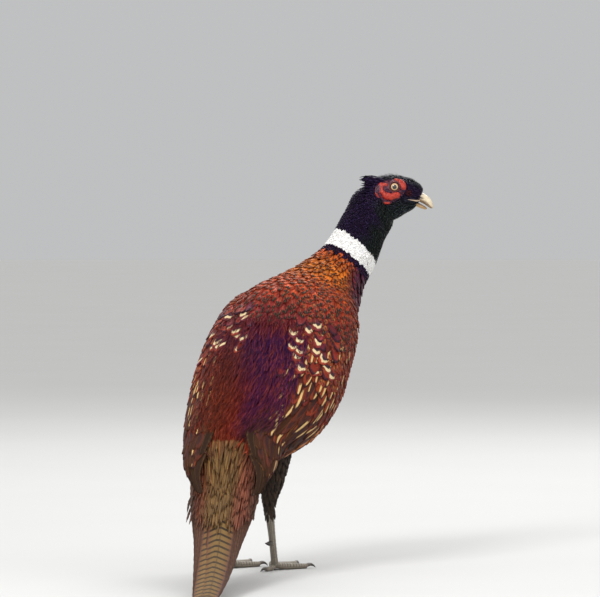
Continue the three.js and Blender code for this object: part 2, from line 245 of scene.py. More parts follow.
def train(run, across, height):
    """The surface that flows from the rump, at 0, down over the tail's base to the tail alone, at 1."""
    over_rump = rump(np.clip(run, 0, 1) * 4, np.radians(across / 34 * 92), height)
    over_tail = tail(0.29 * run - 0.04, across * 0.92, height + 1.5)
    return over_rump + (over_tail - over_rump) * fade(run, 0.2, 0.75)[..., None]


def level(heading):
    """The level directions ahead and to the right of a heading."""
    return directions(np.array(float(heading)), np.array(0.0))[:2]


def stance(sign):
    """The directions ahead and to the right of a leg, its foot and its ankle."""
    along, right = level(STANCE["heading"])
    foot = np.array([STANCE["x"], STANCE["y"], SHANK["foot"]]) + right * sign * STANCE["apart"]
    ankle = foot - along * STANCE["ankle_back"]
    ankle[2] = STANCE["ankle"]
    return along, right, foot, ankle


def thigh(sign):
    along, _, _, ankle = stance(sign)
    bends = np.array([ankle + along * ahead for ahead in THIGH["ahead"]])
    bends[:, 2] = THIGH["height"]
    return rod(bends, THIGH["radii"], 1.8)


def rod(points, radii, blunt=1.25):
    """A round rod: 0 to 1 along it, and an angle around it, whose quarter turn is the top of a level rod and
    the front of an upright one. A higher blunt gives shorter round ends."""
    points = np.asarray(points, float)
    whole = np.abs(points[-1] - points[0])
    upright = whole[2] > np.hypot(whole[0], whole[1])
    facing = level(STANCE["heading"])[0] if upright else np.array([0, 0, 1.0])

    def surface(u, angle, height):
        last = len(points) - 1
        u = np.clip(u, 0, 1)
        step = 0.01
        centre = smooth(points, u * last)
        t = smooth(points, np.clip(u + step, 0, 1) * last) - smooth(points, np.clip(u - step, 0, 1) * last)
        t /= np.linalg.norm(t, axis=-1, keepdims=True)
        side = np.cross(facing, t)
        side /= np.linalg.norm(side, axis=-1, keepdims=True)
        other = np.cross(t, side)
        ends = np.minimum(1, blunt * np.sqrt(np.sin(np.pi * np.clip(u, 0.002, 0.998))))
        radius = smooth(radii, u * (len(radii) - 1)) * ends + height
        out = side * np.cos(angle)[..., None] + other * np.sin(angle)[..., None]
        return centre + out * radius[..., None]

    return surface


# Meshes.
def select(*pieces):
    bpy.ops.object.select_all(action="DESELECT")
    for piece in pieces:
        piece.select_set(True)
    if pieces:
        bpy.context.view_layer.objects.active = pieces[0]


def metres(points):
    return ((points - HOME) * MM).reshape(-1, 3)


def corners(piece):
    places = np.empty(len(piece.data.vertices) * 3)
    piece.data.vertices.foreach_get("co", places)
    return places.reshape(-1, 3)


def move_corners(piece, points):
    piece.data.vertices.foreach_set("co", metres(points).ravel())
    piece.data.update()


def new_piece(name, points, faces, fronts=None, copies=1):
    """A mesh object from points in millimetres, and faces that repeat over copies of one grid of points.
    Where the number of front faces is given, only those are smooth."""
    mesh = bpy.data.meshes.new(name)
    co = metres(points)
    loops = (np.concatenate(faces)[None] + len(co) // copies * np.arange(copies)[:, None]).ravel()
    sizes = np.tile([len(face) for face in faces], copies)
    mesh.vertices.add(len(co))
    mesh.vertices.foreach_set("co", co.astype(np.float32).ravel())
    mesh.loops.add(len(loops))
    mesh.loops.foreach_set("vertex_index", loops.astype(np.int32))
    mesh.polygons.add(len(sizes))
    mesh.polygons.foreach_set("loop_start", np.concatenate([[0], np.cumsum(sizes)[:-1]]).astype(np.int32))
    mesh.polygons.foreach_set("use_smooth", np.tile(np.arange(len(faces)) < (fronts or len(faces)), copies))
    mesh.update(calc_edges=True)
    piece = bpy.data.objects.new(name, mesh)
    bpy.context.collection.objects.link(piece)
    return piece


def vane_faces(rows, columns):
    """The corners of a closed vane's faces over a grid of points: its front faces, then its back and ends."""
    wide = columns + 1
    starts = [j * wide for j in range(rows)]
    front = [(i, i + 1, i + wide + 1, i + wide) for start in starts for i in range(start, start + columns)]
    back = [(i + columns, i, i + wide, i + wide + columns) for i in starts]
    return front + back + [range(columns, -1, -1), range(rows * wide, (rows + 1) * wide)]


def primitive_on(surface, name, rows, around, height=0.0, span=(0, 1), even=False, tint=None):
    """A sphere primitive whose vertices are placed on a surface, from the first row of a span to its last."""
    select()
    bpy.ops.mesh.primitive_uv_sphere_add(segments=around, ring_count=rows)
    piece = bpy.context.object
    piece.name = name
    co = corners(piece)
    pole = np.clip(co[:, 2], -1, 1)
    row = span[0] + (span[1] - span[0]) * (np.arccos(pole) / math.pi if even else (1 - pole) / 2)
    angle = np.arctan2(co[:, 0], co[:, 1])
    move_corners(piece, surface(row, angle, np.full(len(co), float(height))))
    if tint:
        put_ground(piece, tint(row, angle))
    return piece


def apply_modifier(piece, kind, **settings):
    select(piece)
    modifier = piece.modifiers.new(kind.lower(), kind)
    for key, value in settings.items():
        setattr(modifier, key, value)
    bpy.ops.object.modifier_apply(modifier=modifier.name)


def join(pieces, name):
    select(*pieces)
    bpy.ops.object.join()
    pieces[0].name = name
    return pieces[0]


def point_outwards(piece):
    select(piece)
    bpy.ops.object.mode_set(mode="EDIT")
    bpy.ops.mesh.select_all(action="SELECT")
    bpy.ops.mesh.normals_make_consistent(inside=False)
    bpy.ops.object.mode_set(mode="OBJECT")


def put_uv(piece, name, values):
    layer = piece.data.uv_layers.new(name=name)
    layer.uv.foreach_set("vector", np.asarray(values, np.float32).ravel())


def put_ground(piece, colours):
    layer = piece.data.attributes.new("ground", "FLOAT_COLOR", "POINT")
    full = np.concatenate([np.clip(colours, 0, 1), np.ones((len(colours), 1))], 1)
    layer.data.foreach_set("color", full.astype(np.float32).ravel())


def dress(piece, material, slot, *nodes):
    """A piece's material and the nodes it replaces. Its place in the record, the slot, is not used."""
    piece.data.materials.clear()
    piece.data.materials.append(material)
    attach(piece, "root")
    if nodes:
        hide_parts(*nodes)


def finish_piece(piece, *dressing):
    """Smooth faces that point outwards, then its dress."""
    point_outwards(piece)
    bpy.ops.object.shade_smooth()
    dress(piece, *dressing)


# Materials.
class Nodes:
    """Builds nodes in a tree. A socket is fed with a value or with another node's socket."""

    def __init__(self, tree):
        self.tree = tree

    def feed(self, socket, value):
        if isinstance(value, bpy.types.NodeSocket):
            self.tree.links.new(value, socket)
        else:
            socket.default_value = value

    def add(self, kind, *values, **settings):
        """A node with its own settings, and its first sockets fed in their order."""
        made = self.tree.nodes.new("ShaderNode" + kind)
        for name, setting in settings.items():
            setattr(made, name, setting)
        for socket, value in zip(made.inputs, values):
            self.feed(socket, value)
        return made

    def math(self, operation, *values):
        return self.add("Math", *values, operation=operation).outputs[0]

    def vector(self, operation, *values):
        return self.add("VectorMath", *values, operation=operation).outputs

    def step(self, value, start, end, low_value=0.0, high_value=1.0):
        """A smooth step of a value from start to end."""
        limits = (start, end, low_value, high_value)
        return self.add("MapRange", value, *limits, interpolation_type="SMOOTHSTEP").outputs[0]

    def mix(self, under, over, share):
        made = self.add("Mix", share, data_type="RGBA")
        self.feed(made.inputs[6], under)
        self.feed(made.inputs[7], over)
        return made.outputs[2]

    def noise(self, scale, detail=3.0):
        made = self.add("TexNoise", self.add("TexCoord").outputs["Object"])
        self.feed(made.inputs["Scale"], scale)
        self.feed(made.inputs["Detail"], detail)
        return made.outputs[0]

    def ground(self):
        return self.add("Attribute", attribute_name="ground").outputs["Color"]


class Look(Nodes):
    """A material on the standard shader, whose constants are its settings."""

    def __init__(self, name, **settings):
        self.material = bpy.data.materials.new(name)
        self.material.use_nodes = True
        super().__init__(self.material.node_tree)
        self.shader = self.tree.nodes["Principled BSDF"]
        for socket, value in settings.items():
            self.shader.inputs[socket.replace("_", " ")].default_value = value

    def place(self, effect, *values):
        """The outputs of an effect, with its first inputs set to values."""
        return self.add("Group", *values, node_tree=effect).outputs

    def colour(self, socket):
        self.feed(self.shader.inputs["Base Color"], socket)

    def bump(self, height, distance, strength):
        made = self.add("Bump")
        for name, value in (("Height", height), ("Distance", distance), ("Strength", strength)):
            self.feed(made.inputs[name], value)
        self.feed(self.shader.inputs["Normal"], made.outputs[0])


class Effect(Nodes):
    """An effect that materials share, as a node group with named inputs and outputs."""

    def __init__(self, name, **inputs):
        super().__init__(bpy.data.node_groups.new(name, "ShaderNodeTree"))
        for socket, start in inputs.items():
            made = self.tree.interface.new_socket(socket.replace("_", " "), in_out="INPUT",
                                                  socket_type="NodeSocketFloat")
            made.default_value = start
        self.given = self.tree.nodes.new("NodeGroupInput").outputs

    def give(self, **outputs):
        """Names the group's outputs and returns the group."""
        for socket in outputs:
            self.tree.interface.new_socket(socket, in_out="OUTPUT", socket_type="NodeSocketFloat")
        out = self.tree.nodes.new("NodeGroupOutput").inputs
        for socket, value in outputs.items():
            self.feed(out[socket], value)
        return self.tree


def vane_effect():
    """Places on a feather: how far across, how far along, a scale shape, its bars, barbs, shaft and relief,
    and a drift that makes the edges of its marks ragged."""
    effect = Effect("feather vane", Ragged=0.12, Barb_count=30.0, Barb_slant=0.22, Centre=0.5, Stretch=1.0,
                    Bar_count=8.0, Bar_slant=0.1)
    calc, given = effect.math, effect.given
    parts = effect.add("SeparateXYZ", effect.add("UVMap", uv_map="vane").outputs[0])
    side = calc("MULTIPLY_ADD", parts.outputs[0], 2.0, -1.0)
    across = calc("ABSOLUTE", side)
    along = parts.outputs[1]
    reach = calc("DIVIDE", calc("SUBTRACT", along, given["Centre"]), given["Stretch"])
    scale = calc("SQRT", calc("ADD", calc("MULTIPLY", across, across), calc("MULTIPLY", reach, reach)))

    def waves(kind):
        line = calc("SUBTRACT", along, calc("MULTIPLY", across, given[kind + " slant"]))
        return calc("SINE", calc("MULTIPLY", calc("MULTIPLY", line, given[kind + " count"]), 2 * math.pi))

    barbs = waves("Barb")
    shaft = calc("MAXIMUM", calc("SUBTRACT", 1.0, calc("MULTIPLY", across, 14.0)), 0.0)
    drift = calc("MULTIPLY", calc("SUBTRACT", effect.noise(260.0), 0.5), given["Ragged"])
    return effect.give(Across=across, Along=along, Side=side, Scale=scale, Bars=waves("Bar"), Barbs=barbs,
                       Shaft=shaft, Relief=calc("ADD", barbs, calc("MULTIPLY", shaft, 2.0)), Drift=drift)


def grain_effect():
    """Stains and fine relief in horn and bare skin."""
    effect = Effect("grain", Stain_scale=420.0, Stain_detail=4.0, Stain_start=0.4, Stain_end=0.75,
                    Relief_scale=900.0, Relief_detail=3.0)
    given = effect.given
    stain = effect.noise(given["Stain scale"], given["Stain detail"])
    return effect.give(Stain=effect.step(stain, given["Stain start"], given["Stain end"], 0.0, 0.6),
                       Relief=effect.noise(given["Relief scale"], given["Relief detail"]))


VANE = vane_effect()
GRAIN = grain_effect()


def feather_look(name, marks, ragged=0.12, relief=0.00025, barbs=0.22, barb_lines=(30.0, 0.22), **settings):
    """A feather's finish: its ground colour, then its marks in layers, then its barbs and shaft. A mark is a
    measure of the vane, where it starts and ends, a colour, a strength, and the vane's own settings."""
    look = Look(name, **{"Roughness": 0.55, "Specular_IOR_Level": 0.35, **settings})
    vanes = {}

    def vane(*own):
        if own not in vanes:
            vanes[own] = look.place(VANE, ragged, *barb_lines, *own)
        return vanes[own]

    colour = look.ground()
    for measure, start, end, over, strength, *own in marks:
        where = look.math("ADD", vane(*own)[measure], vane()["Drift"])
        colour = look.mix(colour, (*over, 1), look.step(where, start, end, 0.0, strength))
    shade = look.step(vane()["Barbs"], -1.0, 1.0, 0.0, barbs)
    look.colour(look.mix(colour, (0.01, 0.008, 0.006, 1), shade))
    look.bump(vane()["Relief"], relief, 0.6)
    return look.material


def grained_look(name, stain, grain, depth, strength=0.5, **settings):
    """Horn or bare skin: its ground colour with stains in it, and a fine relief of a depth in metres."""
    look = Look(name, **settings)
    marks = look.place(GRAIN, *grain)
    look.colour(look.mix(look.ground(), (*stain, 1), marks["Stain"]))
    look.bump(marks["Relief"], depth, strength)
    return look.material


# Colours, linear.
CREAM = (0.85, 0.66, 0.36)
GOLD = (0.78, 0.2, 0.008)
ORANGE = (0.62, 0.085, 0.006)
COPPER = (0.33, 0.045, 0.008)
BLACK = (0.006, 0.004, 0.005)
BROWN = (0.045, 0.02, 0.01)
GREEN = (0.014, 0.024, 0.013)
BLUE = (0.014, 0.014, 0.07)
VIOLET = (0.03, 0.009, 0.05)
WHITE = (0.9, 0.89, 0.86)


def blend(*stops):
    """A colour that runs through stops of (place, colour), for an array of places."""
    places = [s[0] for s in stops]
    colours = np.array([s[1] for s in stops])

    def at(value):
        return np.stack([np.interp(value, places, colours[:, k]) for k in range(3)], -1)

    return at


def mixed(a, b, share):
    a = np.asarray(a)
    return a + (np.asarray(b) - a) * np.asarray(share)[..., None]


# Feathers. A slot of the record takes the tracts whose names start with one of its words. The skin takes its
# colours from the places and colours of the coat.
FEATHER_SLOTS = {
    "dark_green_feather": ("neck_coat", "dark_collar_coat", "head_coat", "ear_tuft_coat"),
    "white_feather": ("neck_ring_coat",),
    "chestnut_feather": ("mantle_coat", "breast_coat", "flank_coat", "back_coat", "rump_coat"),
    "dark_feather": ("belly_coat", "rear_flank_coat", "vent_coat", "thigh_coat", "face_stubble"),
    "wing_feather": ("shoulder", "wing"),
    "tail_feather": ("tail_covert",),
}
coat_places, coat_colours = [], []
BAKE_PATCH = 0.003


# Outlines: the share of a feather's width at a share of its length.
def round_tip(y):
    tip = 1 - (2 * np.clip(y, 0.5, 1) - 1) ** 2.6
    return np.sqrt(np.clip(tip, 0.02, 1)) * (0.45 + 0.55 * np.minimum(1, y / 0.35))


def long_tip(y):
    tip = 1 - np.clip(y - 0.35, 0, 1) ** 2.2 / 0.39
    return np.sqrt(np.clip(tip, 0.02, 1)) * (0.5 + 0.5 * np.minimum(1, y / 0.25))


def slim_root(y):
    return long_tip(y) * np.minimum(1, 0.2 + 2.4 * y)


def strand(y):
    return np.clip(1.1 - y, 0.12, 1) ** 0.7


def spacing(surface, u, v):
    """Millimetres for one unit of each coordinate of a surface."""
    e, zero = 0.02, np.zeros_like(u)
    along = np.linalg.norm(surface(u + e, v, zero) - surface(u - e, v, zero), axis=-1) / (2 * e)
    across = np.linalg.norm(surface(u, v + e, zero) - surface(u, v - e, zero), axis=-1) / (2 * e)
    return np.maximum(along, 2.0), np.maximum(across, 2.0)


def staggered(surface, u_range, v_range, pitch, shake=0.18):
    """Roots in staggered rows over part of a surface. v_range may be two numbers or a function of u."""
    us, vs = [], []
    u, odd = u_range[0], 0
    while u < u_range[1]:
        start, end = v_range(u) if callable(v_range) else v_range
        here, middle = np.array([float(u)]), np.array([(start + end) / 2])
        along, across = spacing(surface, here, middle)
        count = max(1, int(round((end - start) * across[0] / pitch[1])))
        v = start + (end - start) * (np.arange(count) + 0.25 + 0.5 * odd) / count
        us.append(np.full(count, float(u)) + rng.normal(0, shake, count) * pitch[0] / along[0])
        vs.append(v + rng.normal(0, shake, count) * pitch[1] / across[0])
        u += pitch[0] / along[0]
        odd = 1 - odd
    return np.concatenate(us), np.concatenate(vs)


def feathers(name, surface, roots, look, colour, *, way=-1, length, width, heights, outline=round_tip,
             steps=(6, 4), cup=0.1, spread=0.1, wobble=0.07, ragged=0.05, curl=0.0, own_cells=False):
    """One piece of many feathers. They lie on a surface from root to tip, each a thin closed vane."""
    u, v = roots
    n = len(u)
    rows, columns = steps
    each = lambda values: values[:, None, None]
    given = lambda value: np.broadcast_to(value(u, v) if callable(value) else np.asarray(value, float), (n,))
    long = given(length) * rng.uniform(1 - spread, 1 + spread, n)
    wide = given(width) * rng.uniform(1 - spread / 2, 1 + spread / 2, n)
    turn = each(rng.normal(0, wobble, n))
    y, x = np.meshgrid(np.linspace(0, 1, rows + 1), np.linspace(-1, 1, columns + 1), indexing="ij")
    fray = 1 - ragged * rng.random((n, rows + 1, 1)) * (y > 0.3)
    a = each(long) * y * (1 - ragged * 0.5 * rng.random((n, 1, columns + 1)))
    b = each(wide) / 2 * x * outline(y) * fray
    along = a * np.cos(turn) - b * np.sin(turn)
    across = a * np.sin(turn) + b * np.cos(turn)
    eu, ev = spacing(surface, u, v)
    eu, ev = spacing(surface, u + way * 0.4 * long / eu, v)
    uu = each(u) + way * along / each(eu)
    vv = each(v) + across / each(ev)
    root_height, tip_height = given(heights[0]), given(heights[1])
    rise = each(root_height) + each(tip_height - root_height) * y ** 0.85
    lift = rise - cup * each(wide) * x * x * np.sqrt(y) + curl * y ** 3
    lift = lift + each(rng.normal(0, 0.12, n))
    points = surface(uu, vv, lift)
    faces = vane_faces(rows, columns)
    sample = points[:40]
    normal = np.cross(sample[:, 1, 2] - sample[:, 0, 2], sample[:, 1, 1] - sample[:, 1, 2])
    outward = surface(uu[:40], vv[:40], lift[:40] + 1)[:, 1, 2] - sample[:, 1, 2]
    if np.sum(normal * outward) < 0:
        faces = [face[::-1] for face in faces]
    piece = new_piece(name, points, faces, rows * columns, n)
    vane = np.stack([x.ravel() * 0.5 + 0.5, y.ravel()], -1)[np.concatenate(faces)]
    put_uv(piece, "vane", np.tile(vane, (n, 1)))
    places, patch = bake_patches(u, v, own_cells)
    put_uv(piece, "OFBake", places[:, None] + (vane * patch)[None])
    ground = colour(u, v, rng.random(n))
    ground = ground * rng.uniform(0.82, 1.18, n)[:, None]
    put_ground(piece, np.repeat(ground, x.size, axis=0))
    coat_places.append(points[:, rows // 2, columns // 2])
    coat_colours.append(ground)
    dress(piece, look, next(slot for slot, starts in FEATHER_SLOTS.items() if name.startswith(starts)))


def bake_patches(u, v, own_cells):
    """Where each feather's patch lies, and its size: a small one at its root's place on the tract's unwrap,
    or a cell of its own."""
    if own_cells:
        side = math.ceil(math.sqrt(len(u)))
        cell = np.arange(len(u))
        return np.stack([(cell % side + 0.03) / side, (cell // side + 0.03) / side], -1), 0.94 / side
    spread_u = (u - u.min()) / max(np.ptp(u), 1e-6)
    spread_v = (v - v.min()) / max(np.ptp(v), 1e-6)
    return np.stack([spread_v, spread_u], -1) * 0.975 + 0.01, BAKE_PATCH


# Ground colours by the place on the body: row from rump to nape, and angle from the back.
back_tone = blend((0.2, (0.28, 0.05, 0.01)), (1.2, (0.34, 0.03, 0.008)), (2.2, (0.24, 0.016, 0.018)),
                  (3.0, (0.11, 0.01, 0.07)), (3.6, (0.075, 0.009, 0.1)), (4.0, (0.18, 0.014, 0.04)),
                  (4.8, (0.3, 0.03, 0.015)))
mantle_tone = blend((4.5, (0.22, 0.014, 0.02)), (5.1, (0.42, 0.04, 0.008)), (5.7, ORANGE), (6.5, GOLD),
                    (7.4, ORANGE), (7.7, (0.2, 0.02, 0.02)))
breast_tone = blend((0.0, BROWN), (1.6, BROWN), (2.6, COPPER), (4.5, (0.26, 0.02, 0.012)),
                    (6.4, (0.17, 0.01, 0.03)), (7.4, (0.1, 0.006, 0.04)))


def body_colour(u, v, tone):
    side = np.abs(np.degrees(v))
    red_side = fade(np.degrees(v), 4, -22) * fade(u, 4.4, 3.0)
    back = mixed(back_tone(u), (0.21, 0.034, 0.013), 0.8 * red_side)
    # The lower back is violet on its right half only: painted sheen of the back's gloss.
    violet_sheen = fade(np.degrees(v), -2, 12) * fade(u, 0.9, 1.6) * fade(u, 3.6, 2.8)
    back = mixed(back, (0.085, 0.009, 0.09), 0.75 * violet_sheen)
    fleck = np.where(tone > 0.72, 1.0, 0.0)
    back = mixed(back, (0.36, 0.055, 0.02), 0.55 * fleck)
    back = mixed(back, mantle_tone(u), fade(u, 4.1, 4.7))
    colour = mixed(back, breast_tone(u), fade(side, 70, 98))
    colour = mixed(colour, np.array(BROWN) * 0.5, fade(side, 138, 160) * fade(u, 4.6, 2.8))
    # Near-black on the right of the back towards the rump, above the wing: painted shade between the rump and
    # the wing.
    dark = fade(np.degrees(v), 6, 28) * fade(u, 2.2, 0.9)
    colour = mixed(colour, (0.022, 0.01, 0.028), 0.86 * dark)
    return colour * (0.6 + 0.65 * tone[..., None])


def neck_colour(u, v, tone):
    side = np.degrees(v)
    drift = 12 * np.sin(u * 3.1) + 9 * np.sin(u * 7.3 + np.radians(side) * 2)
    front = fade(np.abs(side) + drift, 74, 118)
    gloss = mixed(VIOLET, GREEN, front)
    return mixed(gloss, BLUE, 0.4 * tone * (1 - 0.6 * front)) * (0.8 + 0.4 * tone[:, None])


# A dull red spot between the eye and the bill.
LORE = (162.5, 406.3)


def head_colour(u, v, tone):
    side = np.abs(np.degrees(v))
    crown = fade(side, 60, 20)
    gloss = mixed(VIOLET, GREEN, fade(side, 70, 130))
    gloss = mixed(gloss, (0.02, 0.03, 0.02), crown * 0.8)
    at = head(u, v, np.zeros_like(u))
    lore = fade(np.hypot(at[:, 0] - LORE[0], at[:, 2] - LORE[1]), 4.5, 2.5) * 0.8
    return mixed(mixed(gloss, BLUE, 0.35 * tone), (0.1, 0.012, 0.012), lore)


def plain(*colours):
    """A colour for each feather, picked between the given ones."""
    run = blend(*[(k / max(1, len(colours) - 1), c) for k, c in enumerate(colours)])
    return lambda u, v, tone: run(tone)


# How many body rows lower the white ring, the collar and the mantle start at the nape.
RING_DROP = 0.2


def ring_line(angle):
    """The body row of the white ring's middle: the ring leans, lower at the throat."""
    return 7.95 + 0.1 * np.cos(angle)


def strip(rows, degrees, pitch):
    """Staggered roots over body rows and a range of degrees from the back."""
    return staggered(body, rows, np.radians(degrees), pitch)


def both_sides(roots):
    u, v = roots
    return np.concatenate([u, u]), np.concatenate([v, -v])


DEG = math.pi / 180
gloss_look = {"Roughness": 0.3, "Metallic": 0.6}
look_neck = feather_look("gloss neck feather", [
    ("Scale", 0.75, 1.0, (0.004, 0.004, 0.01), 0.7, 0.45, 0.5),
], ragged=0.3, **gloss_look)
look_white = feather_look("white ring feather", [], barbs=0.02, relief=0.0001, Roughness=0.9)
look_mantle = feather_look("gold mantle feather", [
    ("Across", 0.5, 0.95, (0.26, 0.02, 0.006), 0.85),
    ("Scale", 0.66, 0.44, BLACK, 1.0, 0.96, 0.36),
    ("Shaft", 0.2, 0.9, (0.95, 0.5, 0.12), 0.4),
], ragged=0.3, Roughness=0.42, Metallic=0.25)
look_breast = feather_look("copper breast feather", [
    ("Scale", 0.74, 0.92, (0.03, 0.006, 0.02), 0.9, 0.42, 0.56),
], Roughness=0.38, Metallic=0.4)
look_flank = feather_look("gold flank feather", [
    ("Scale", 0.55, 0.35, (0.02, 0.006, 0.015), 0.95, 1.02, 0.34),
    ("Across", 0.7, 1.0, (0.2, 0.03, 0.01), 0.6),
], Roughness=0.42, Metallic=0.3)
look_dark = feather_look("dark down feather", [
    ("Across", 0.6, 1.0, (0.004, 0.003, 0.003), 0.6),
], ragged=0.35, Roughness=0.8)
look_scapular = feather_look("cream ringed shoulder feather", [
    ("Scale", 0.88, 0.76, CREAM, 1.0, 0.5, 0.44),
    ("Scale", 0.64, 0.54, (0.035, 0.006, 0.02), 1.0, 0.44, 0.42),
    ("Along", 0.54, 0.42, (0.14, 0.012, 0.03), 1.0),
], ragged=0.34, Roughness=0.5)
look_back = feather_look("hair like back feather", [], barbs=0.1, Roughness=0.36, Metallic=0.35)
look_covert = feather_look("small wing covert", [
    ("Scale", 0.55, 0.35, (0.5, 0.22, 0.04), 0.6, 0.55, 0.5),
    ("Scale", 0.3, 0.18, BLACK, 0.8, 0.8, 0.5),
    ("Across", 0.7, 1.0, (0.06, 0.008, 0.012), 0.8),
], ragged=0.3, Roughness=0.5)
look_streak = feather_look("buff streaked covert", [
    ("Side", -0.14, 0.0, (0.8, 0.52, 0.2), 1.0),
    ("Side", 0.4, 0.56, (0.07, 0.012, 0.008), 1.0),
    ("Along", 0.5, 0.38, (0.1, 0.016, 0.01), 1.0),
    ("Side", -0.5, -0.9, (0.34, 0.06, 0.01), 0.7),
    ("Along", 0.84, 0.94, (0.05, 0.01, 0.01), 1.0),
], ragged=0.24, Roughness=0.5, Specular_IOR_Level=0.2)
look_plain_covert = feather_look("plain wing covert", [
    ("Across", 0.5, 0.95, (0.2, 0.04, 0.01), 0.5),
    ("Scale", 0.5, 0.3, (0.03, 0.008, 0.008), 0.8, 0.6, 0.6),
], ragged=0.3, Roughness=0.5, Specular_IOR_Level=0.2)
look_quill = feather_look("barred wing quill", [
    ("Bars", 0.55, 0.85, (0.17, 0.08, 0.028), 0.6, 0.5, 0.5, 11.0, 0.06),
    ("Across", 0.85, 0.6, (0.03, 0.012, 0.005), 0.95),
    ("Shaft", 0.2, 0.9, (0.12, 0.06, 0.025), 0.8),
], ragged=0.2, barbs=0.3, barb_lines=(90.0, 0.1), Roughness=0.6, Specular_IOR_Level=0.12)
look_tertial = feather_look("buff edged inner wing feather", [
    ("Bars", 0.5, 0.8, (0.12, 0.05, 0.018), 0.6, 0.5, 0.5, 7.0, 0.12),
    ("Across", 0.84, 0.72, (0.05, 0.016, 0.007), 0.9),
    ("Side", -0.1, 0.02, (0.09, 0.02, 0.012), 0.5),
    ("Shaft", 0.2, 0.9, (0.16, 0.07, 0.03), 0.8),
], ragged=0.3, barbs=0.3, barb_lines=(70.0, 0.16), Roughness=0.6, Specular_IOR_Level=0.12)


def quill_colour(u, v, tone):
    return mixed((0.055, 0.024, 0.012), (0.13, 0.06, 0.022), tone)


def near_ring(roots, low_row, high_row, nape=0.0):
    """The roots between two distances, in body rows, from the ring's middle, which may dip at the nape."""
    u, v = roots
    offset = u - ring_line(v) + nape * (1 + np.cos(v)) / 2
    keep = (offset > low_row) & (offset < high_row)
    return u[keep], v[keep]


def make_body_coat():
    neck = near_ring(strip((7.9, 11.0), (-180, 180), (2.2, 2.6)), 0.38, 4)
    nape = lambda u, v: 1.4 + 3.2 * fade(u, 9.2, 10.3) * fade(np.abs(v), 1.2, 0.3)
    feathers("neck_coat", body, neck, look_neck, neck_colour,
             length=7.5, width=4.4, heights=(-1.2, nape), outline=long_tip, steps=(4, 2))
    ring = near_ring(near_ring(strip((7.1, 9.0), (-180, 180), (1.9, 2.6)), -0.25, 4, RING_DROP), -4, 0.36)
    feathers("neck_ring_coat", body, ring, look_white, plain(WHITE, (0.97, 0.96, 0.94)),
             length=7, width=6.5, heights=(-1.0, 1.0), steps=(4, 4), wobble=0.1, ragged=0.12)
    collar = near_ring(strip((6.8, 8.3), (-180, 180), (2.4, 3.4)), -0.52, -0.16, RING_DROP)
    feathers("dark_collar_coat", body, collar, look_neck,
             plain((0.015, 0.004, 0.04), (0.03, 0.008, 0.06), (0.06, 0.01, 0.03)),
             length=8, width=6, heights=(-1.4, 0.9), steps=(4, 2))
    mantle = near_ring(staggered(coat, (4.25, 8.0), (-96 * DEG, 96 * DEG), (4.8, 6.4)), -9, -0.36, RING_DROP)
    feathers("mantle_coat", coat, mantle, look_mantle, body_colour,
             length=lambda u, v: 12 + 6 * fade(u, 7, 5), width=lambda u, v: 7.5 + 3.5 * fade(u, 7, 5),
             heights=(-2.0, 1.5), steps=(7, 4), wobble=0.16, ragged=0.12)
    breast = near_ring(both_sides(strip((3.2, 7.9), (90, 180), (7, 9.5))), -9, -0.36, RING_DROP)
    feathers("breast_coat", body, breast, look_breast, body_colour,
             length=lambda u, v: 17 + 8 * fade(u, 7, 4), width=lambda u, v: 11 + 6 * fade(u, 7, 4),
             heights=(-2.4, 1.3), steps=(7, 6), wobble=0.09, ragged=0.08)
    flank = both_sides(staggered(coat, (0.9, 4.2), (112 * DEG, 152 * DEG), (11, 13)))
    feathers("flank_coat", coat, flank, look_flank,
             plain((0.36, 0.09, 0.01), (0.5, 0.15, 0.012), (0.28, 0.05, 0.008)),
             length=36, width=19, heights=(-3, 1.6), steps=(9, 6), wobble=0.1, ragged=0.12)
    belly = both_sides(strip((0.3, 3.6), (138, 180), (7, 8)))
    feathers("belly_coat", body, belly, look_dark, plain((0.02, 0.012, 0.008), (0.05, 0.028, 0.016)),
             length=20, width=10, heights=(-3, 1.5), steps=(6, 4), wobble=0.3, ragged=0.4, curl=1.5)
    rear = both_sides(staggered(coat, (0.25, 1.7), (96 * DEG, 150 * DEG), (8, 8)))
    feathers("rear_flank_coat", coat, rear, look_dark, plain((0.03, 0.014, 0.006), (0.08, 0.03, 0.012)),
             length=26, width=11, heights=(-3, 1.4), steps=(8, 4), wobble=0.14, ragged=0.25,
             outline=long_tip)


def make_back_coat():
    right = staggered(coat, (3.1, 4.6), (32 * DEG, 74 * DEG), (11.5, 13), shake=0.35)
    left = staggered(coat, (3.55, 4.75), (-56 * DEG, -8 * DEG), (10.5, 12), shake=0.3)
    zone = np.concatenate([right, left], axis=1)
    marked = rng.random(len(zone[0])) < np.where(zone[0] < np.where(zone[1] > 0, 4.2, 4.5), 0.7, 0.15)
    for name, look, chosen in (("shoulder_marked_coat", look_scapular, marked),
                               ("shoulder_plain_coat", look_breast, ~marked)):
        feathers(name, coat, (zone[0][chosen], zone[1][chosen]), look,
                 plain((0.14, 0.01, 0.03), (0.28, 0.022, 0.012), (0.36, 0.04, 0.01)),
                 length=24, width=15, heights=(-1.4, 2.6), steps=(9, 6), wobble=0.2, ragged=0.14,
                 own_cells=True)
    reach = lambda u: (44 + 14 * float(fade(u, 2.2, 1.0))) * DEG
    blades = staggered(coat, (0.1, 4.3), lambda u: (-reach(u), reach(u)), (2.5, 1.8), shake=0.45)
    feathers("back_coat", coat, blades, look_back, body_colour,
             length=19, width=1.6, heights=(-2.6, 2.4), outline=strand, steps=(4, 2), wobble=0.2,
             spread=0.35, cup=0)


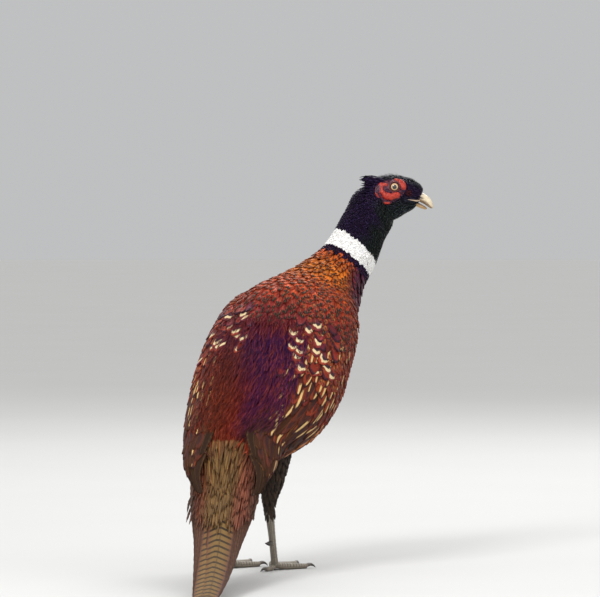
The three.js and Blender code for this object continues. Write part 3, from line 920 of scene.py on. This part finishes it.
def make_wing_coat(side):
    sign = SIDES[side]
    face = wing(sign)
    u, v = staggered(coat, (3.0, 6.05), (34 * DEG, 118 * DEG), (6, 8), shake=0.25)
    feathers(f"wing_small_coverts_{side}", coat, (u, v * sign), look_covert,
             plain((0.34, 0.04, 0.01), (0.24, 0.02, 0.01), (0.42, 0.08, 0.01)),
             length=16, width=10, heights=(-2.4, 1.5), steps=(6, 6), ragged=0.14, wobble=0.12)
    middle = staggered(face, (0.2, 0.44), (0.06, 0.97), (10, 8.5), shake=0.3)
    greater = staggered(face, (0.38, 0.7), (0.05, 0.97), (15, 9.5), shake=0.3)
    for part, roots, tones, long, wide, lift, share in (
        ("middle", middle, [(0.3, 0.04, 0.01), (0.14, 0.012, 0.01)], 29, 11, 1.3, 0.5),
        ("large", greater, [(0.12, 0.022, 0.008), (0.045, 0.012, 0.009)], 44, 12.5, 0.9, 0.55),
    ):
        streaked = rng.random(len(roots[0])) < share
        kinds = (("streaked", look_streak, streaked), ("plain", look_plain_covert, ~streaked))
        for kind, look, chosen in kinds:
            feathers(f"wing_{part}_coverts_{kind}_{side}", face, (roots[0][chosen], roots[1][chosen]),
                     look, plain(*tones), way=1, length=long, width=wide, heights=(-1.9, lift),
                     steps=(10, 6), outline=long_tip, wobble=0.09, ragged=0.1, own_cells=True)
    z = np.linspace(0.02, 0.84, 14)
    x = 0.5 + 0.14 * np.linspace(0, 1, 14)
    feathers(f"wing_secondaries_{side}", face, (x, z), look_quill, quill_colour, way=1,
             length=lambda u, v: 98 + 6 * v, width=25, heights=(-2.6, 0.5), steps=(16, 8), wobble=0.02,
             outline=slim_root, spread=0.02, own_cells=True)
    x, z = 0.5 + 0.075 * np.tile([0, 1, 2], 4)[:11], 0.04 + 0.05 * np.arange(11)
    feathers(f"wing_tertials_{side}", face, (x, z), look_tertial,
             plain((0.15, 0.055, 0.02), (0.27, 0.11, 0.035)), way=1, length=52, width=17,
             heights=(-2.6, 1.3), steps=(14, 8), wobble=0.05, outline=slim_root, own_cells=True)
    z = np.linspace(0.08, 0.97, 13)
    x = 0.655 + 0.02 * np.linspace(0, 1, 13)
    feathers(f"wing_primaries_{side}", face, (x, z), look_quill, quill_colour, way=1,
             length=96, width=19, heights=(-2.6, -0.1), steps=(16, 6), wobble=0.015,
             outline=long_tip, spread=0.03, own_cells=True)


# The face: bare red skin with lobes round the eye, on both sides of the head.
def on_head(x, z, sign, height=0.0):
    """The point of the head's side at a place in the head's own plane."""
    row = np.interp(x, HEAD[:, 0], np.arange(len(HEAD)))
    for _ in range(12):
        at = smooth(HEAD, row)
        along, _, up = directions(at[..., 3], at[..., 4])
        ahead = (x - at[..., 0]) * along[..., 0] + (z - at[..., 2]) * along[..., 2]
        row = np.clip(row + ahead / 11, 0, len(HEAD) - 1)
    above = (x - at[..., 0]) * up[..., 0] + (z - at[..., 2]) * up[..., 2]
    tall = np.where(above > 0, at[..., 6], at[..., 7])
    angle = np.arccos(np.clip(above / tall, -0.995, 0.995))
    return head(row, sign * angle, np.broadcast_to(height, np.shape(row)))


def bezier(start, ends, count=24):
    points, here = [], np.array(start, float)
    for curve in ends:
        a, b, c = (np.array(p, float) for p in curve)
        t = np.linspace(0, 1, count, endpoint=False)[:, None]
        points.append((1 - t) ** 3 * here + 3 * (1 - t) ** 2 * t * a + 3 * (1 - t) * t * t * b + t ** 3 * c)
        here = c
    return np.concatenate(points)


long, tall = 17.5, 14.5
outline = np.array([141, 408]) + bezier((-long, 3), [
    ((-0.9 * long, 0.95 * tall), (0.2 * long, 1.15 * tall), (0.82 * long, 0.72 * tall)),
    ((1.15 * long, 0.2 * tall), (0.6 * long, -0.5 * tall), (0.1 * long, -0.75 * tall)),
    ((-0.4 * long, -1.1 * tall), (-1.05 * long, -0.9 * tall), (-long, 3)),
])


def from_eye(x, z):
    """The turn and the distance of a place in the head's plane, seen from the middle of the eye."""
    dx, dz = x - EYE["place"][0], z - EYE["place"][1]
    return np.arctan2(dz, dx), np.hypot(dx, dz)


spokes, reaches = from_eye(outline[:, 0], outline[:, 1])
order = np.argsort(spokes)
spokes, reaches = spokes[order], reaches[order]


def face_reach(turn):
    return np.interp(turn, spokes, reaches, period=2 * math.pi)


def in_face(x, z, grow=1.0):
    turn, far = from_eye(x, z)
    return far < face_reach(turn) * grow


# Lobes of the face as capsules: both ends in the head's plane, radius and height.
LOBES = [
    ((146.5, 421.8), (151.5, 420.6), 2.5, 1.4),
    ((152.2, 419.2), (155, 413.5), 3.5, 2.0),
    ((129, 416), (135.5, 415.6), 1.8, 1.0),
    ((129.8, 416.5), (130.2, 411.5), 1.6, 1.0),
    ((131, 408), (134, 404.5), 2.6, 1.6),
    ((135, 404), (140, 402.6), 3.8, 2.1),
    ((140.5, 402.8), (147.5, 404.6), 3.3, 2.1),
    ((123.8, 405), (127, 399.4), 2.1, 1.3),
    ((134.5, 396), (138.5, 395.6), 1.7, 0.9),
]


def lobe_height(x, z):
    total = np.zeros_like(x)
    for (ax, az), (bx, bz), radius, height in LOBES:
        dx, dz = bx - ax, bz - az
        t = np.clip(((x - ax) * dx + (z - az) * dz) / (dx * dx + dz * dz), 0, 1)
        far = np.hypot(x - ax - t * dx, z - az - t * dz)
        total = np.maximum(total, height * np.sqrt(np.clip(1 - (far / radius) ** 2, 0, 1)))
    return total


# Three rows that scatter the middles of the pebbles.
SCATTER = np.array([[12.9, 39.3, 7.1], [78.2, 11.1, 53.7], [37.7, 83.2, 19.9]])


def pebbles(points, size):
    """A bumpy value from 0 to 1 in cells of a size, for an array of points."""
    spots = np.floor(points / size)
    nearest = np.full(len(points), 9.0)
    for step in np.ndindex(3, 3, 3):
        cell = spots + np.array(step) - 1
        seed = np.sin(cell @ SCATTER) * 43758.5
        middle = cell + seed - np.floor(seed)
        nearest = np.minimum(nearest, np.linalg.norm(points / size - middle, axis=1))
    return np.clip(1 - nearest, 0, 1)


# The radius of the opening between the eyelids.
LID = 4.5


def make_face(side):
    sign = SIDES[side]
    select()
    bpy.ops.mesh.primitive_torus_add(major_segments=120, minor_segments=72, major_radius=1, minor_radius=0.25)
    piece = bpy.context.object
    piece.name = f"face_skin_{side}"
    co = corners(piece)
    turn = np.arctan2(co[:, 1], co[:, 0])
    around = np.arctan2(co[:, 2], np.hypot(co[:, 0], co[:, 1]) - 1)
    share = (1 + np.cos(around)) / 2
    front = np.sin(around)
    radius = LID + (face_reach(turn) * 1.03 - LID) * share
    x = EYE["place"][0] + np.cos(turn) * radius
    z = EYE["place"][1] + np.sin(turn) * radius
    seed = on_head(x, z, sign)
    rough = pebbles(np.stack([x, z, seed[:, 1]], -1), 1.3)
    lobes = lobe_height(x, z)
    edge = np.clip((1 - share) * 6, 0, 1)
    skin = 0.35 + (lobes + 0.6 * rough * (0.25 + lobes)) * edge ** 0.5
    lid = 1.3 * np.exp(-((radius - LID - 0.7) / 0.75) ** 2)
    thick = np.where(front > 0, skin + lid, -1.4)
    height = thick * np.minimum(1, np.abs(front) * 2.2 + 0.02)
    points = on_head(x, z, sign, height)
    dip = np.clip(1 - (radius - LID) / 4.0, 0, 1) ** 1.5
    flat = HEAD_Y - sign * (EYE["side"] + 3.3)
    points[:, 1] = points[:, 1] * (1 - dip * 0.75) + (flat - sign * (height - 0.6)) * dip * 0.75
    move_corners(piece, points)
    colour = mixed((0.17, 0.004, 0.003), (0.62, 0.04, 0.008), rough)
    colour = mixed(colour, (0.035, 0.005, 0.03), fade(lobes, 0.7, 0.15))
    colour = mixed(colour, (0.03, 0.012, 0.02), fade(radius, LID + 2.4, LID + 0.9))
    put_ground(piece, colour)
    finish_piece(piece, look_face, "red_skin", f"face_{side}")
    coat_places.append(points[::7])
    coat_colours.append(colour[::7])


look_face = grained_look("bare red skin", (0.35, 0.01, 0.005), (900.0, 4.0, 0.45, 0.7, 1400.0, 4.0), 0.0003,
                         0.7, Roughness=0.45, Subsurface_Weight=0.1, Subsurface_Scale=0.001,
                         Subsurface_Radius=(1.0, 0.2, 0.1))


# The ear tuft's three locks: the heights of tip and root, and how many feathers.
EAR_TUFT = {"high": (422.5, 417, 46), "middle": (418, 414, 40), "low": (413, 410, 44)}


def make_head_coat():
    u, v = staggered(head, (0.3, 5.8), (-math.pi, math.pi), (1.6, 1.8), shake=0.25)
    at = head(u, v, np.zeros_like(u))
    bare = in_face(at[:, 0], at[:, 2], 0.97) & (np.abs(at[:, 1] - HEAD_Y) > 5)
    gape = (at[:, 0] > 157) & (np.abs(at[:, 2] - gape_line(at[:, 0])) < 1.5)
    keep = ~bare & ~gape
    crest = lambda u, v: 0.75 + 1.6 * fade(np.abs(v), 0.9, 0.3) * rng.random(len(u)) ** 2
    feathers("head_coat", head, (u[keep], v[keep]), look_neck, head_colour,
             length=lambda u, v: 3.6 + 2.4 * fade(u, 4.5, 1.5), width=2.5, heights=(-0.5, crest),
             steps=(4, 2), outline=long_tip, wobble=0.14)
    count = 46
    u, v = rng.uniform(1.4, 3.6, count), rng.normal(0, 0.35, count)
    feathers("head_coat_crest", head, (u, v), look_neck, head_colour, length=rng.uniform(7, 13, count),
             width=1.5, heights=(-0.4, rng.uniform(1.5, 4.6, count)), steps=(6, 2), outline=strand,
             wobble=0.3)
    for side, sign in SIDES.items():
        x, z = face_grid(1.5)
        between_lobes = (lobe_height(x, z) < 0.12) | (rng.random(len(x)) < 0.3)
        edge = between_lobes & (from_eye(x, z)[1] > 6.3)
        face_stubble(f"face_stubble_{side}", x[edge], z[edge], sign)
        y = HEAD_Y - sign * 10
        for name, (tip_z, root_z, count) in EAR_TUFT.items():
            line = rod([[137, y, root_z], [126, y, (root_z + tip_z) / 2 + 1], [114, y - sign * 1, tip_z],
                        [104, y - sign * 2, tip_z]], [3.0, 4.2, 3.4, 1.2])
            u, v = rng.uniform(0.0, 0.42, count), rng.uniform(-math.pi, math.pi, count)
            feathers(f"ear_tuft_coat_{name}_{side}", line, (u, v), look_neck, neck_colour, way=1,
                     length=rng.uniform(9, 20, count), width=3.0, heights=(-1.6, 0.5), steps=(6, 2),
                     outline=long_tip, wobble=0.1)


def gape_line(x):
    """The height of the closed mouth's line, back from the bill."""
    return 399.6 - 0.16 * (x - 160)


def face_grid(pitch):
    x, z = np.meshgrid(np.arange(120, 162, pitch), np.arange(392, 430, pitch * 0.8))
    x = (x + (np.arange(len(x)) % 2)[:, None] * pitch / 2 + rng.normal(0, 0.2, x.shape)).ravel()
    z = (z + rng.normal(0, 0.2, z.shape)).ravel()
    inside = in_face(x, z, 1.02)
    return x[inside], z[inside]


def face_stubble(name, x, z, sign):
    """Tiny dark feathers in rows on the bare face, between its lobes."""

    def surface(along, across, height):
        return on_head(along, across, sign, height + 0.8 * lobe_height(along, across))

    feathers(name, surface, (x, z), look_neck, plain((0.012, 0.006, 0.03), (0.02, 0.01, 0.05)),
             length=2.8, width=1.5, heights=(0.1, 1.3), steps=(4, 2), outline=long_tip, wobble=0.2)


# Tail.
look_tail = feather_look("barred tail feather", [
    ("Across", 0.3, 0.8, (0.2, 0.08, 0.025), 0.7),
    ("Bars", 0.25, 0.65, (0.018, 0.008, 0.004), 0.92, 0.5, 0.5, 32.0, 0.012),
    ("Across", 0.72, 0.9, (0.19, 0.07, 0.04), 0.8),
    ("Shaft", 0.2, 0.9, (0.08, 0.04, 0.015), 0.8),
], ragged=0.05, barbs=0.3, barb_lines=(420.0, 0.045), Roughness=0.55, Specular_IOR_Level=0.25)
look_tail_covert = feather_look("loose tail covert", [
    ("Across", 0.25, 0.85, (0.16, 0.03, 0.012), 0.7),
    ("Shaft", 0.2, 0.9, (0.5, 0.32, 0.1), 0.5),
], ragged=0.3, barbs=0.45, barb_lines=(60.0, 0.3), Roughness=0.5)
PAIRS = [1.0, 0.94, 0.85, 0.75, 0.64, 0.54, 0.46, 0.4, 0.34]


def make_tail():
    """Nine pairs of long feathers in one piece, each pair shorter and further out, the middle pair on top."""
    vanes = []
    rows, columns = 46, 8
    y, x = np.meshgrid(np.linspace(0, 1, rows + 1), np.linspace(-1, 1, columns + 1), indexing="ij")
    for number, reach in enumerate(PAIRS):
        for side, sign in SIDES.items():
            wide = (15.5 - number * 0.75) * (0.32 + 0.68 * np.minimum(1, y / 0.22)) * (1 - y ** 2.2) ** 0.62
            wide = np.maximum(wide, 0.25)
            centre = sign * (1.2 + 3.6 * number + (6.5 if number == 0 else 4) * y * (1 - 0.4 * y))
            centre = centre * (0.72 + 0.28 * (1 - y))
            across = centre + x * wide * (1 + 0.03 * np.sin(y * 90 + number * 3 + sign))
            lift = 1.2 - 0.85 * number - (0.3 if sign < 0 else 0) - 0.7 * x * x * np.sqrt(y)
            points = tail(y * reach, across, lift + 0.9 * (1 - y))
            vanes.append(long_vane(f"tail_feather_{number}_{side}", points, len(vanes),
                                   np.array((0.3, 0.17, 0.045)) * rng.uniform(0.8, 1.1)))
    strips = [f"tail_{part}_{side}" for part in ("inner", "second", "outer") for side in SIDES]
    dress(join(vanes, "tail_feathers"), look_tail, "tail_feather", "tail_middle", *strips)


def long_vane(name, points, cell, ground):
    """A closed vane from a grid of points, rows along it, columns across it, with its own cell to bake in."""
    rows, columns = points.shape[0] - 1, points.shape[1] - 1
    faces = vane_faces(rows, columns)
    piece = new_piece(name, points, faces, rows * columns)
    y, x = np.meshgrid(np.linspace(0, 1, rows + 1), np.linspace(0, 1, columns + 1), indexing="ij")
    vane = np.stack([x.ravel(), y.ravel()], -1)[np.concatenate(faces)]
    put_uv(piece, "vane", vane)
    put_uv(piece, "OFBake", (vane * (0.9, 0.98) + (0.05 + cell, 0.01)) / (2 * len(PAIRS), 1))
    put_ground(piece, np.tile(ground, (x.size, 1)))
    point_outwards(piece)
    return piece


def make_rump_coat():
    u, v = staggered(rump, (0.05, 1.4), (-110 * DEG, 110 * DEG), (3.2, 2.2), shake=0.45)
    arch = u < 0.3 + 1.1 * fade(np.abs(np.degrees(v) + 6), 14, 52)
    u, v = np.maximum(u[arch], 0.03), v[arch]
    feathers("rump_coat", rump, (u, v), look_back, rump_colour, way=1, length=26, width=1.8,
             heights=(-1.4, 1.6), outline=strand, steps=(5, 2), wobble=0.14, spread=0.35, cup=0)
    run, across = staggered(train, (0.05, 0.86), (-37, 37), (8.5, 5.5), shake=0.35)

    def reach(u, v):
        return 52 + 22 * fade(u, 0.1, 0.7) - 0.5 * np.abs(v) - 20 * fade(np.abs(v), 20, 34)

    feathers("tail_covert_coat", train, (np.maximum(run, 0.03), across), look_tail_covert, covert_colour,
             way=1, length=reach, width=8, heights=(-2.4, 2.4), steps=(16, 6), outline=slim_root, wobble=0.06,
             spread=0.2, ragged=0.34, own_cells=True)
    u, v = staggered(vent, (0.1, 2.9), (70 * DEG, 290 * DEG), (7, 7), shake=0.3)
    feathers("vent_coat", vent, (u, v), look_dark, plain((0.03, 0.014, 0.008), (0.08, 0.03, 0.014)), way=1,
             length=32, width=9, heights=(-2, 1.4), steps=(6, 4), wobble=0.25, ragged=0.4)


def rump_colour(u, v, tone):
    edged = mixed((0.32, 0.035, 0.008), (0.03, 0.014, 0.006), fade(np.abs(np.degrees(v)), 66, 96))
    return edged * (0.55 + 0.9 * tone[:, None])


def covert_colour(u, v, tone):
    """Red over the rump, then olive buff in the middle and pinkish brown at the sides, dark at the edges."""
    side = mixed((0.22, 0.045, 0.014), (0.3, 0.085, 0.045), fade(v, 4, 24))
    olive = mixed(side, (0.27, 0.15, 0.04), (0.5 + 0.5 * fade(u, 0.0, 0.3)) * fade(np.abs(v + 3), 24, 9))
    dark = mixed(olive, (0.05, 0.02, 0.008), fade(np.abs(v), 27, 35))
    return dark * (0.6 + 0.7 * tone[:, None])


def make_thigh_coat(side):
    leg = thigh(SIDES[side])
    roots = staggered(leg, (0.08, 0.62), (-math.pi, math.pi), (4.2, 4.5), shake=0.3)
    feathers(f"thigh_coat_{side}", leg, roots, look_dark, plain((0.03, 0.018, 0.012), (0.07, 0.04, 0.022)),
             way=1, length=13, width=6.5, heights=(-1.5, 0.8), steps=(5, 4), wobble=0.2, ragged=0.3)


# The skin under the coat, in one piece.
def wing_core(sign):
    face_of_wing = wing(sign)

    def surface(u, angle, height):
        full = np.sqrt(np.clip(np.sin(math.pi * np.clip(u, 0.01, 0.99)), 0, 1)) ** 0.5
        x, z = 0.03 + 0.7 * u, 0.5 + 0.46 * np.sin(angle) * full
        return face_of_wing(x, z, -4.6 + 2.4 * np.cos(angle) * full + height)

    return surface


look_skin = feather_look("skin under the coat", [], barbs=0.0, relief=0.0001, Roughness=0.8)
# How coarse the joined skin is, in metres, and how much darker it is than the coat above it: painted shade, the
# coat's shadow on the skin between its feathers.
VOXEL = 0.0024
SHADE = 0.6


def make_skin():
    parts = [
        primitive_on(body, "skin_body", 64, 96, -3.2, (0.15, 10.6)),
        primitive_on(head, "skin_head", 40, 64, -0.9, (0.2, 5.9)),
        primitive_on(rump, "skin_rump", 32, 48, -4.5, (0, 1.5)),
        primitive_on(vent, "skin_vent", 32, 48, -2.0, (0, 2.7)),
    ]
    for side, sign in SIDES.items():
        parts.append(primitive_on(thigh(sign), f"skin_thigh_{side}", 32, 40, -1.5, (0, 0.66)))
        parts.append(primitive_on(wing_core(sign), f"skin_wing_{side}", 48, 48))
    skin = join(parts, "skin")
    apply_modifier(skin, "REMESH", mode="VOXEL", voxel_size=VOXEL)
    apply_modifier(skin, "SMOOTH", factor=0.5, iterations=3)
    skin.data.polygons.foreach_set("use_smooth", np.ones(len(skin.data.polygons), bool))
    colours = np.concatenate(coat_colours)
    tree = KDTree(len(colours))
    for i, place in enumerate(metres(np.concatenate(coat_places))):
        tree.insert(place, i)
    tree.balance()
    put_ground(skin, colours[[tree.find(point)[1] for point in corners(skin)]] * SHADE)
    single = ("head", "neck", "neck_ring", "trunk", "rump_coverts", "vent_coverts")
    paired = [f"{name}_{side}" for name in ("wing", "thigh", "ear_tuft") for side in SIDES]
    dress(skin, look_skin, "dark_feather", *single, *paired)


# Eyes, bill, legs and claws.
def look_of_eye():
    """Rings round the middle of the eye's face: pupil, iris with fine threads, and its dark rim."""
    look = Look("eye", Roughness=0.12, Coat_Weight=1.0, Coat_Roughness=0.03)
    centre = (np.array([EYE["place"][0], 0, EYE["place"][1]]) - HOME * (1, 0, 1)) * MM
    moved = look.vector("SUBTRACT", look.add("TexCoord").outputs["Object"], centre)[0]
    flat = look.vector("MULTIPLY", moved, (1000, 0, 1000))[0]
    radius = look.vector("LENGTH", flat)["Value"]
    iris = look.mix((0.8, 0.62, 0.38, 1), (0.5, 0.28, 0.11, 1), look.noise(900.0, 2.0))
    iris = look.mix(iris, (0.22, 0.08, 0.025, 1), look.step(radius, 3.3, 4.1))
    colour = look.mix((0.004, 0.004, 0.005, 1), iris, look.step(radius, 2.35, 2.6))
    look.colour(look.mix(colour, (0.012, 0.006, 0.006, 1), look.step(radius, 4.1, 4.5)))
    return look.material


look_eye = look_of_eye()


def make_eye(side):
    """A ball with the cornea's bulge on its outer face."""
    sign = SIDES[side]
    middle = np.array([EYE["place"][0], HEAD_Y - sign * (EYE["side"] - 0.4), EYE["place"][1]])
    select()
    bpy.ops.mesh.primitive_uv_sphere_add(segments=64, ring_count=40)
    ball = bpy.context.object
    ball.name = f"eye_ball_{side}"
    co = corners(ball) * EYE["radius"]
    bulge = np.clip(1 - np.hypot(co[:, 0], co[:, 1]) / 4.3, 0, 1)
    co[:, 2] += np.sign(co[:, 2]) * 0.5 * bulge ** 0.7
    move_corners(ball, np.stack([co[:, 0], -sign * co[:, 2], co[:, 1]], -1) + middle)
    finish_piece(ball, look_eye, "eye", f"eye_{side}")


horn = {"grain": (420.0, 4.0, 0.4, 0.75, 900.0, 3.0), "depth": 0.00012,
        "Coat_Weight": 0.25, "Coat_Roughness": 0.25}
look_bill = grained_look("pale bill horn", (0.5, 0.36, 0.2), Roughness=0.3, **horn)
look_claw = grained_look("dark claw horn", (0.09, 0.07, 0.05), Roughness=0.35, **horn)
HORN = (0.72, 0.62, 0.44)
OCHRE = (0.4, 0.24, 0.09)
# A brown for painted shade on the bill: along the mouth's line and under the upper bill.
BILL_SHADE_BROWN = (0.13, 0.06, 0.025)


def make_upper_bill():
    shape = loft(UPPER_BILL, (0.3, 0.3))

    def nostril(row, side):
        return np.exp(-(((row - 0.95) / 0.36) ** 4 + ((side - 1.42) / 0.13) ** 2))

    def carved(row, angle, height):
        side = np.abs(angle)
        flap = 0.75 * np.exp(-(((row - 0.9) / 0.45) ** 2 + ((side - 1.1) / 0.26) ** 2))
        edge = 0.3 * np.exp(-((side - 1.95) / 0.1) ** 2) - 0.35 * np.exp(-((side - 1.75) / 0.1) ** 2)
        return shape(row, angle, height + flap - 0.95 * nostril(row, side) + edge * fade(row, 0.6, 1.2))

    def tint(row, angle):
        side = np.abs(angle)
        colour = mixed((0.5, 0.4, 0.3), HORN, fade(row, 0.5, 1.4))
        colour = mixed(colour, OCHRE, 0.6 * fade(row, 2.3, 3.0))
        # The upper bill's lower edge turns brown: painted shade along the mouth's line.
        colour = mixed(colour, BILL_SHADE_BROWN, 0.85 * fade(side, 1.5, 1.85))
        # The nostril's opening is near-black: painted shade in its hollow.
        return mixed(colour, (0.02, 0.012, 0.01), nostril(row, side))

    piece = primitive_on(carved, "bill_top", 90, 96, span=(0, len(UPPER_BILL) - 1), tint=tint)
    finish_piece(piece, look_bill, "bill_horn", "bill_upper")


def make_lower_bill():
    def tint(row, angle):
        side = np.abs(angle)
        # Brown over the lower bill's upper side: painted shadow of the upper bill.
        return mixed(mixed(OCHRE, BILL_SHADE_BROWN, 0.9 * fade(side, 1.7, 1.2)), HORN, 0.5 * fade(side, 2.2, 2.8))

    shape = loft(LOWER_BILL, (0.3, 0.3))
    piece = primitive_on(shape, "bill_bottom", 72, 72, span=(0, len(LOWER_BILL) - 1), tint=tint)
    finish_piece(piece, look_bill, "bill_horn", "bill_lower")


def make_gape(side):
    """The pale edge of the mouth, from the bill back between the feathers, as a tube of rings."""
    sign, rings, each = SIDES[side], 24, 12
    line = np.linspace(159, 173.5, rings)
    around = np.linspace(0, 2 * math.pi, each, endpoint=False)
    thick = 0.12 + 1.0 * fade(line, 158, 173)
    x = np.broadcast_to(line[:, None], (rings, each))
    z = gape_line(x) + np.sin(around)[None] * thick[:, None]
    points = on_head(x.ravel(), z.ravel(), sign, 0.0).reshape(rings, each, 3)
    points[..., 1] -= sign * (np.cos(around)[None] * thick[:, None] * 0.7 + 0.3)
    faces = [(i + k, i + (k + 1) % each, i + each + (k + 1) % each, i + each + k)
             for i in range(0, (rings - 1) * each, each) for k in range(each)]
    faces += [range(each), range((rings - 1) * each, rings * each)]
    piece = new_piece(f"bill_gape_{side}", points, faces)
    put_ground(piece, np.tile((0.5, 0.36, 0.26), (rings * each, 1)))
    finish_piece(piece, look_bill, "bill_horn")


look_leg = grained_look("scaly leg skin", (0.11, 0.09, 0.075), (300.0, 4.0, 0.45, 0.75, 1100.0, 3.0), 0.00015,
                        Roughness=0.5)


def plates(places):
    """0 in the groove between two plates, 1 on a plate, for places counted in plates."""
    return 1 - np.exp(-((places - np.round(places)) / 0.13) ** 2)


def scales(u, angle, long):
    """How far a leg's scales stand up: broad plates in front and on top, small ones behind and below."""
    front = fade(np.sin(angle), -0.2, 0.3)
    along, turns = u * long / SHANK["scute"], angle * 6 / math.pi
    small = plates(along * 1.8 + 0.5 * np.round(turns)) * plates(turns)
    return 0.5 * plates(along) * front + 0.3 * small * (1 - front)


def leg_rod(name, line, radii, size, node, slot, material, long=0.0):
    """One rod of the leg, flat where it stands on the floor, and scaly if its length is given."""
    smooth_rod = rod(line, radii, blunt=3.0)

    def skin(u, angle, height):
        relief = scales(u, angle, long) - 0.35 if long else 0.0
        points = smooth_rod(u, angle, height + relief)
        points[..., 2] = np.maximum(points[..., 2], 0)
        return points

    def tint(u, angle):
        if not long:
            return mixed((0.1, 0.08, 0.06), (0.02, 0.016, 0.014), fade(u, 0.1, 0.7))
        return mixed((0.07, 0.055, 0.045), (0.3, 0.26, 0.2), fade(scales(u, angle, long), 0.05, 0.3))

    finish_piece(primitive_on(skin, name, *size, even=True, tint=tint), material, slot, node)


def make_leg(side):
    """Shank, spur, toes and claws below the feathered thigh."""
    sign = SIDES[side]
    along, right, foot, ankle = stance(sign)
    above = ankle + along * 1.0 + np.array([0, 0, 16])
    shank = [above, *(ankle + (foot - ankle) * share for share in (0.1, 0.5, 0.9, 1.0))]
    leg_rod(f"shank_skin_{side}", shank, SHANK["radii"], (240, 40), f"shank_{side}", "leg_scale", look_leg,
            SHANK["long"])
    root = ankle + (foot - ankle) * (1 - SPUR["height"] / STANCE["ankle"])
    tip = root - along * SPUR["long"] - right * sign * 3
    middle = (root + tip) / 2 - np.array([0, 0, 0.8])
    leg_rod(f"spur_horn_{side}", [root, middle, tip], [SPUR["radius"], SPUR["radius"] * 0.75, 0.35], (32, 24),
            f"spur_{side}", "claw_horn", look_claw)
    for name, (turn, long, r) in TOES.items():
        ahead = level(STANCE["heading"] + sign * turn)[0]
        line = lambda *places: [np.array([foot[0], foot[1], z]) + ahead * reach for reach, z in places]
        toe = line((0, SHANK["foot"]), (long * 0.3, r * 1.1), (long * 0.7, r * 0.85), (long, r * 0.8))
        leg_rod(f"toe_skin_{name}_{side}", toe, [r, r * 1.05, r * 0.95, r * 0.8], (120, 32),
                f"toe_{name}_{side}", "leg_scale", look_leg, long)
        claw = line((long - 3, r * 0.9), (long + CLAW["long"] * 0.3, r * 1.25),
                    (long + CLAW["long"] * 0.7, r * 0.95), (long + CLAW["long"], 0.5))
        leg_rod(f"toe_claw_{name}_{side}", claw, [CLAW["radius"], CLAW["radius"] * 0.9, 1.1, 0.25], (32, 24),
                f"claw_{name}_{side}", "claw_horn", look_claw)


# Floor, light and camera. Each light has its place and size in metres and its power in watts.
LIGHTS = {
    "key light": ((-1.4, -2.1, 2.2), 1.0, 70),
    "fill light": ((2.2, -1.4, 1.2), 1.8, 18),
    "back light": ((0.6, 2.2, 2.2), 1.4, 36),
}
LIT = Vector((0, 0, 0.25))
FLOOR_SIZE = 40
HORIZON = (0.52, 0.525, 0.53, 1)
CAMERA = {"target": (41, 20, 293), "tilt": 1.5, "distance": 4.5, "lens": 250, "sensor": 36, "far": 50}


def aim(thing, target):
    thing.rotation_euler = (target - thing.location).to_track_quat("-Z", "Y").to_euler()


def make_stage():
    select()
    bpy.ops.mesh.primitive_plane_add(size=FLOOR_SIZE)
    floor = bpy.context.object
    floor.name = "floor"
    bpy.ops.object.mode_set(mode="EDIT")
    bpy.ops.mesh.subdivide(number_cuts=3)
    bpy.ops.object.mode_set(mode="OBJECT")
    look = Look("pale floor", Roughness=0.8)
    look.colour(look.mix((0.6, 0.6, 0.59, 1), (0.57, 0.57, 0.56, 1), look.noise(3.0)))
    floor.data.materials.append(look.material)
    scene = bpy.context.scene
    scene.view_settings.view_transform = "Standard"
    if scene.world is None:
        scene.world = bpy.data.worlds.new("studio")
    scene.world.use_nodes = True
    sky = Nodes(scene.world.node_tree)
    rise = sky.add("SeparateXYZ", sky.add("TexCoord").outputs["Generated"]).outputs[2]
    sky.feed(sky.tree.nodes["Background"].inputs["Color"],
             sky.mix(HORIZON, (1.0, 1.0, 1.0, 1), sky.step(rise, 0.0, 1.0)))
    for name, (place, size, power) in LIGHTS.items():
        bpy.ops.object.light_add(type="AREA", location=place)
        lamp = bpy.context.object
        lamp.name = name
        lamp.data.size = size
        lamp.data.energy = power
        aim(lamp, LIT)


def make_camera():
    target = (np.array(CAMERA["target"]) - HOME) * MM
    tilt = math.radians(CAMERA["tilt"])
    place = target + CAMERA["distance"] * np.array([0, -math.cos(tilt), math.sin(tilt)])
    bpy.ops.object.camera_add(location=place)
    camera = bpy.context.object
    camera.data.lens = CAMERA["lens"]
    camera.data.sensor_width = CAMERA["sensor"]
    camera.data.clip_end = CAMERA["far"]
    aim(camera, Vector(target))
    bpy.context.scene.camera = camera


# The order of these calls is the order of the random draws, and the skin takes its colours from the coat.
make_body_coat()
make_back_coat()
make_rump_coat()
make_head_coat()
for side in SIDES:
    make_wing_coat(side)
    make_thigh_coat(side)
    make_face(side)
make_tail()
make_skin()
for side in SIDES:
    make_eye(side)
make_upper_bill()
make_lower_bill()
for side in SIDES:
    make_gape(side)
for side in SIDES:
    make_leg(side)
make_stage()
make_camera()
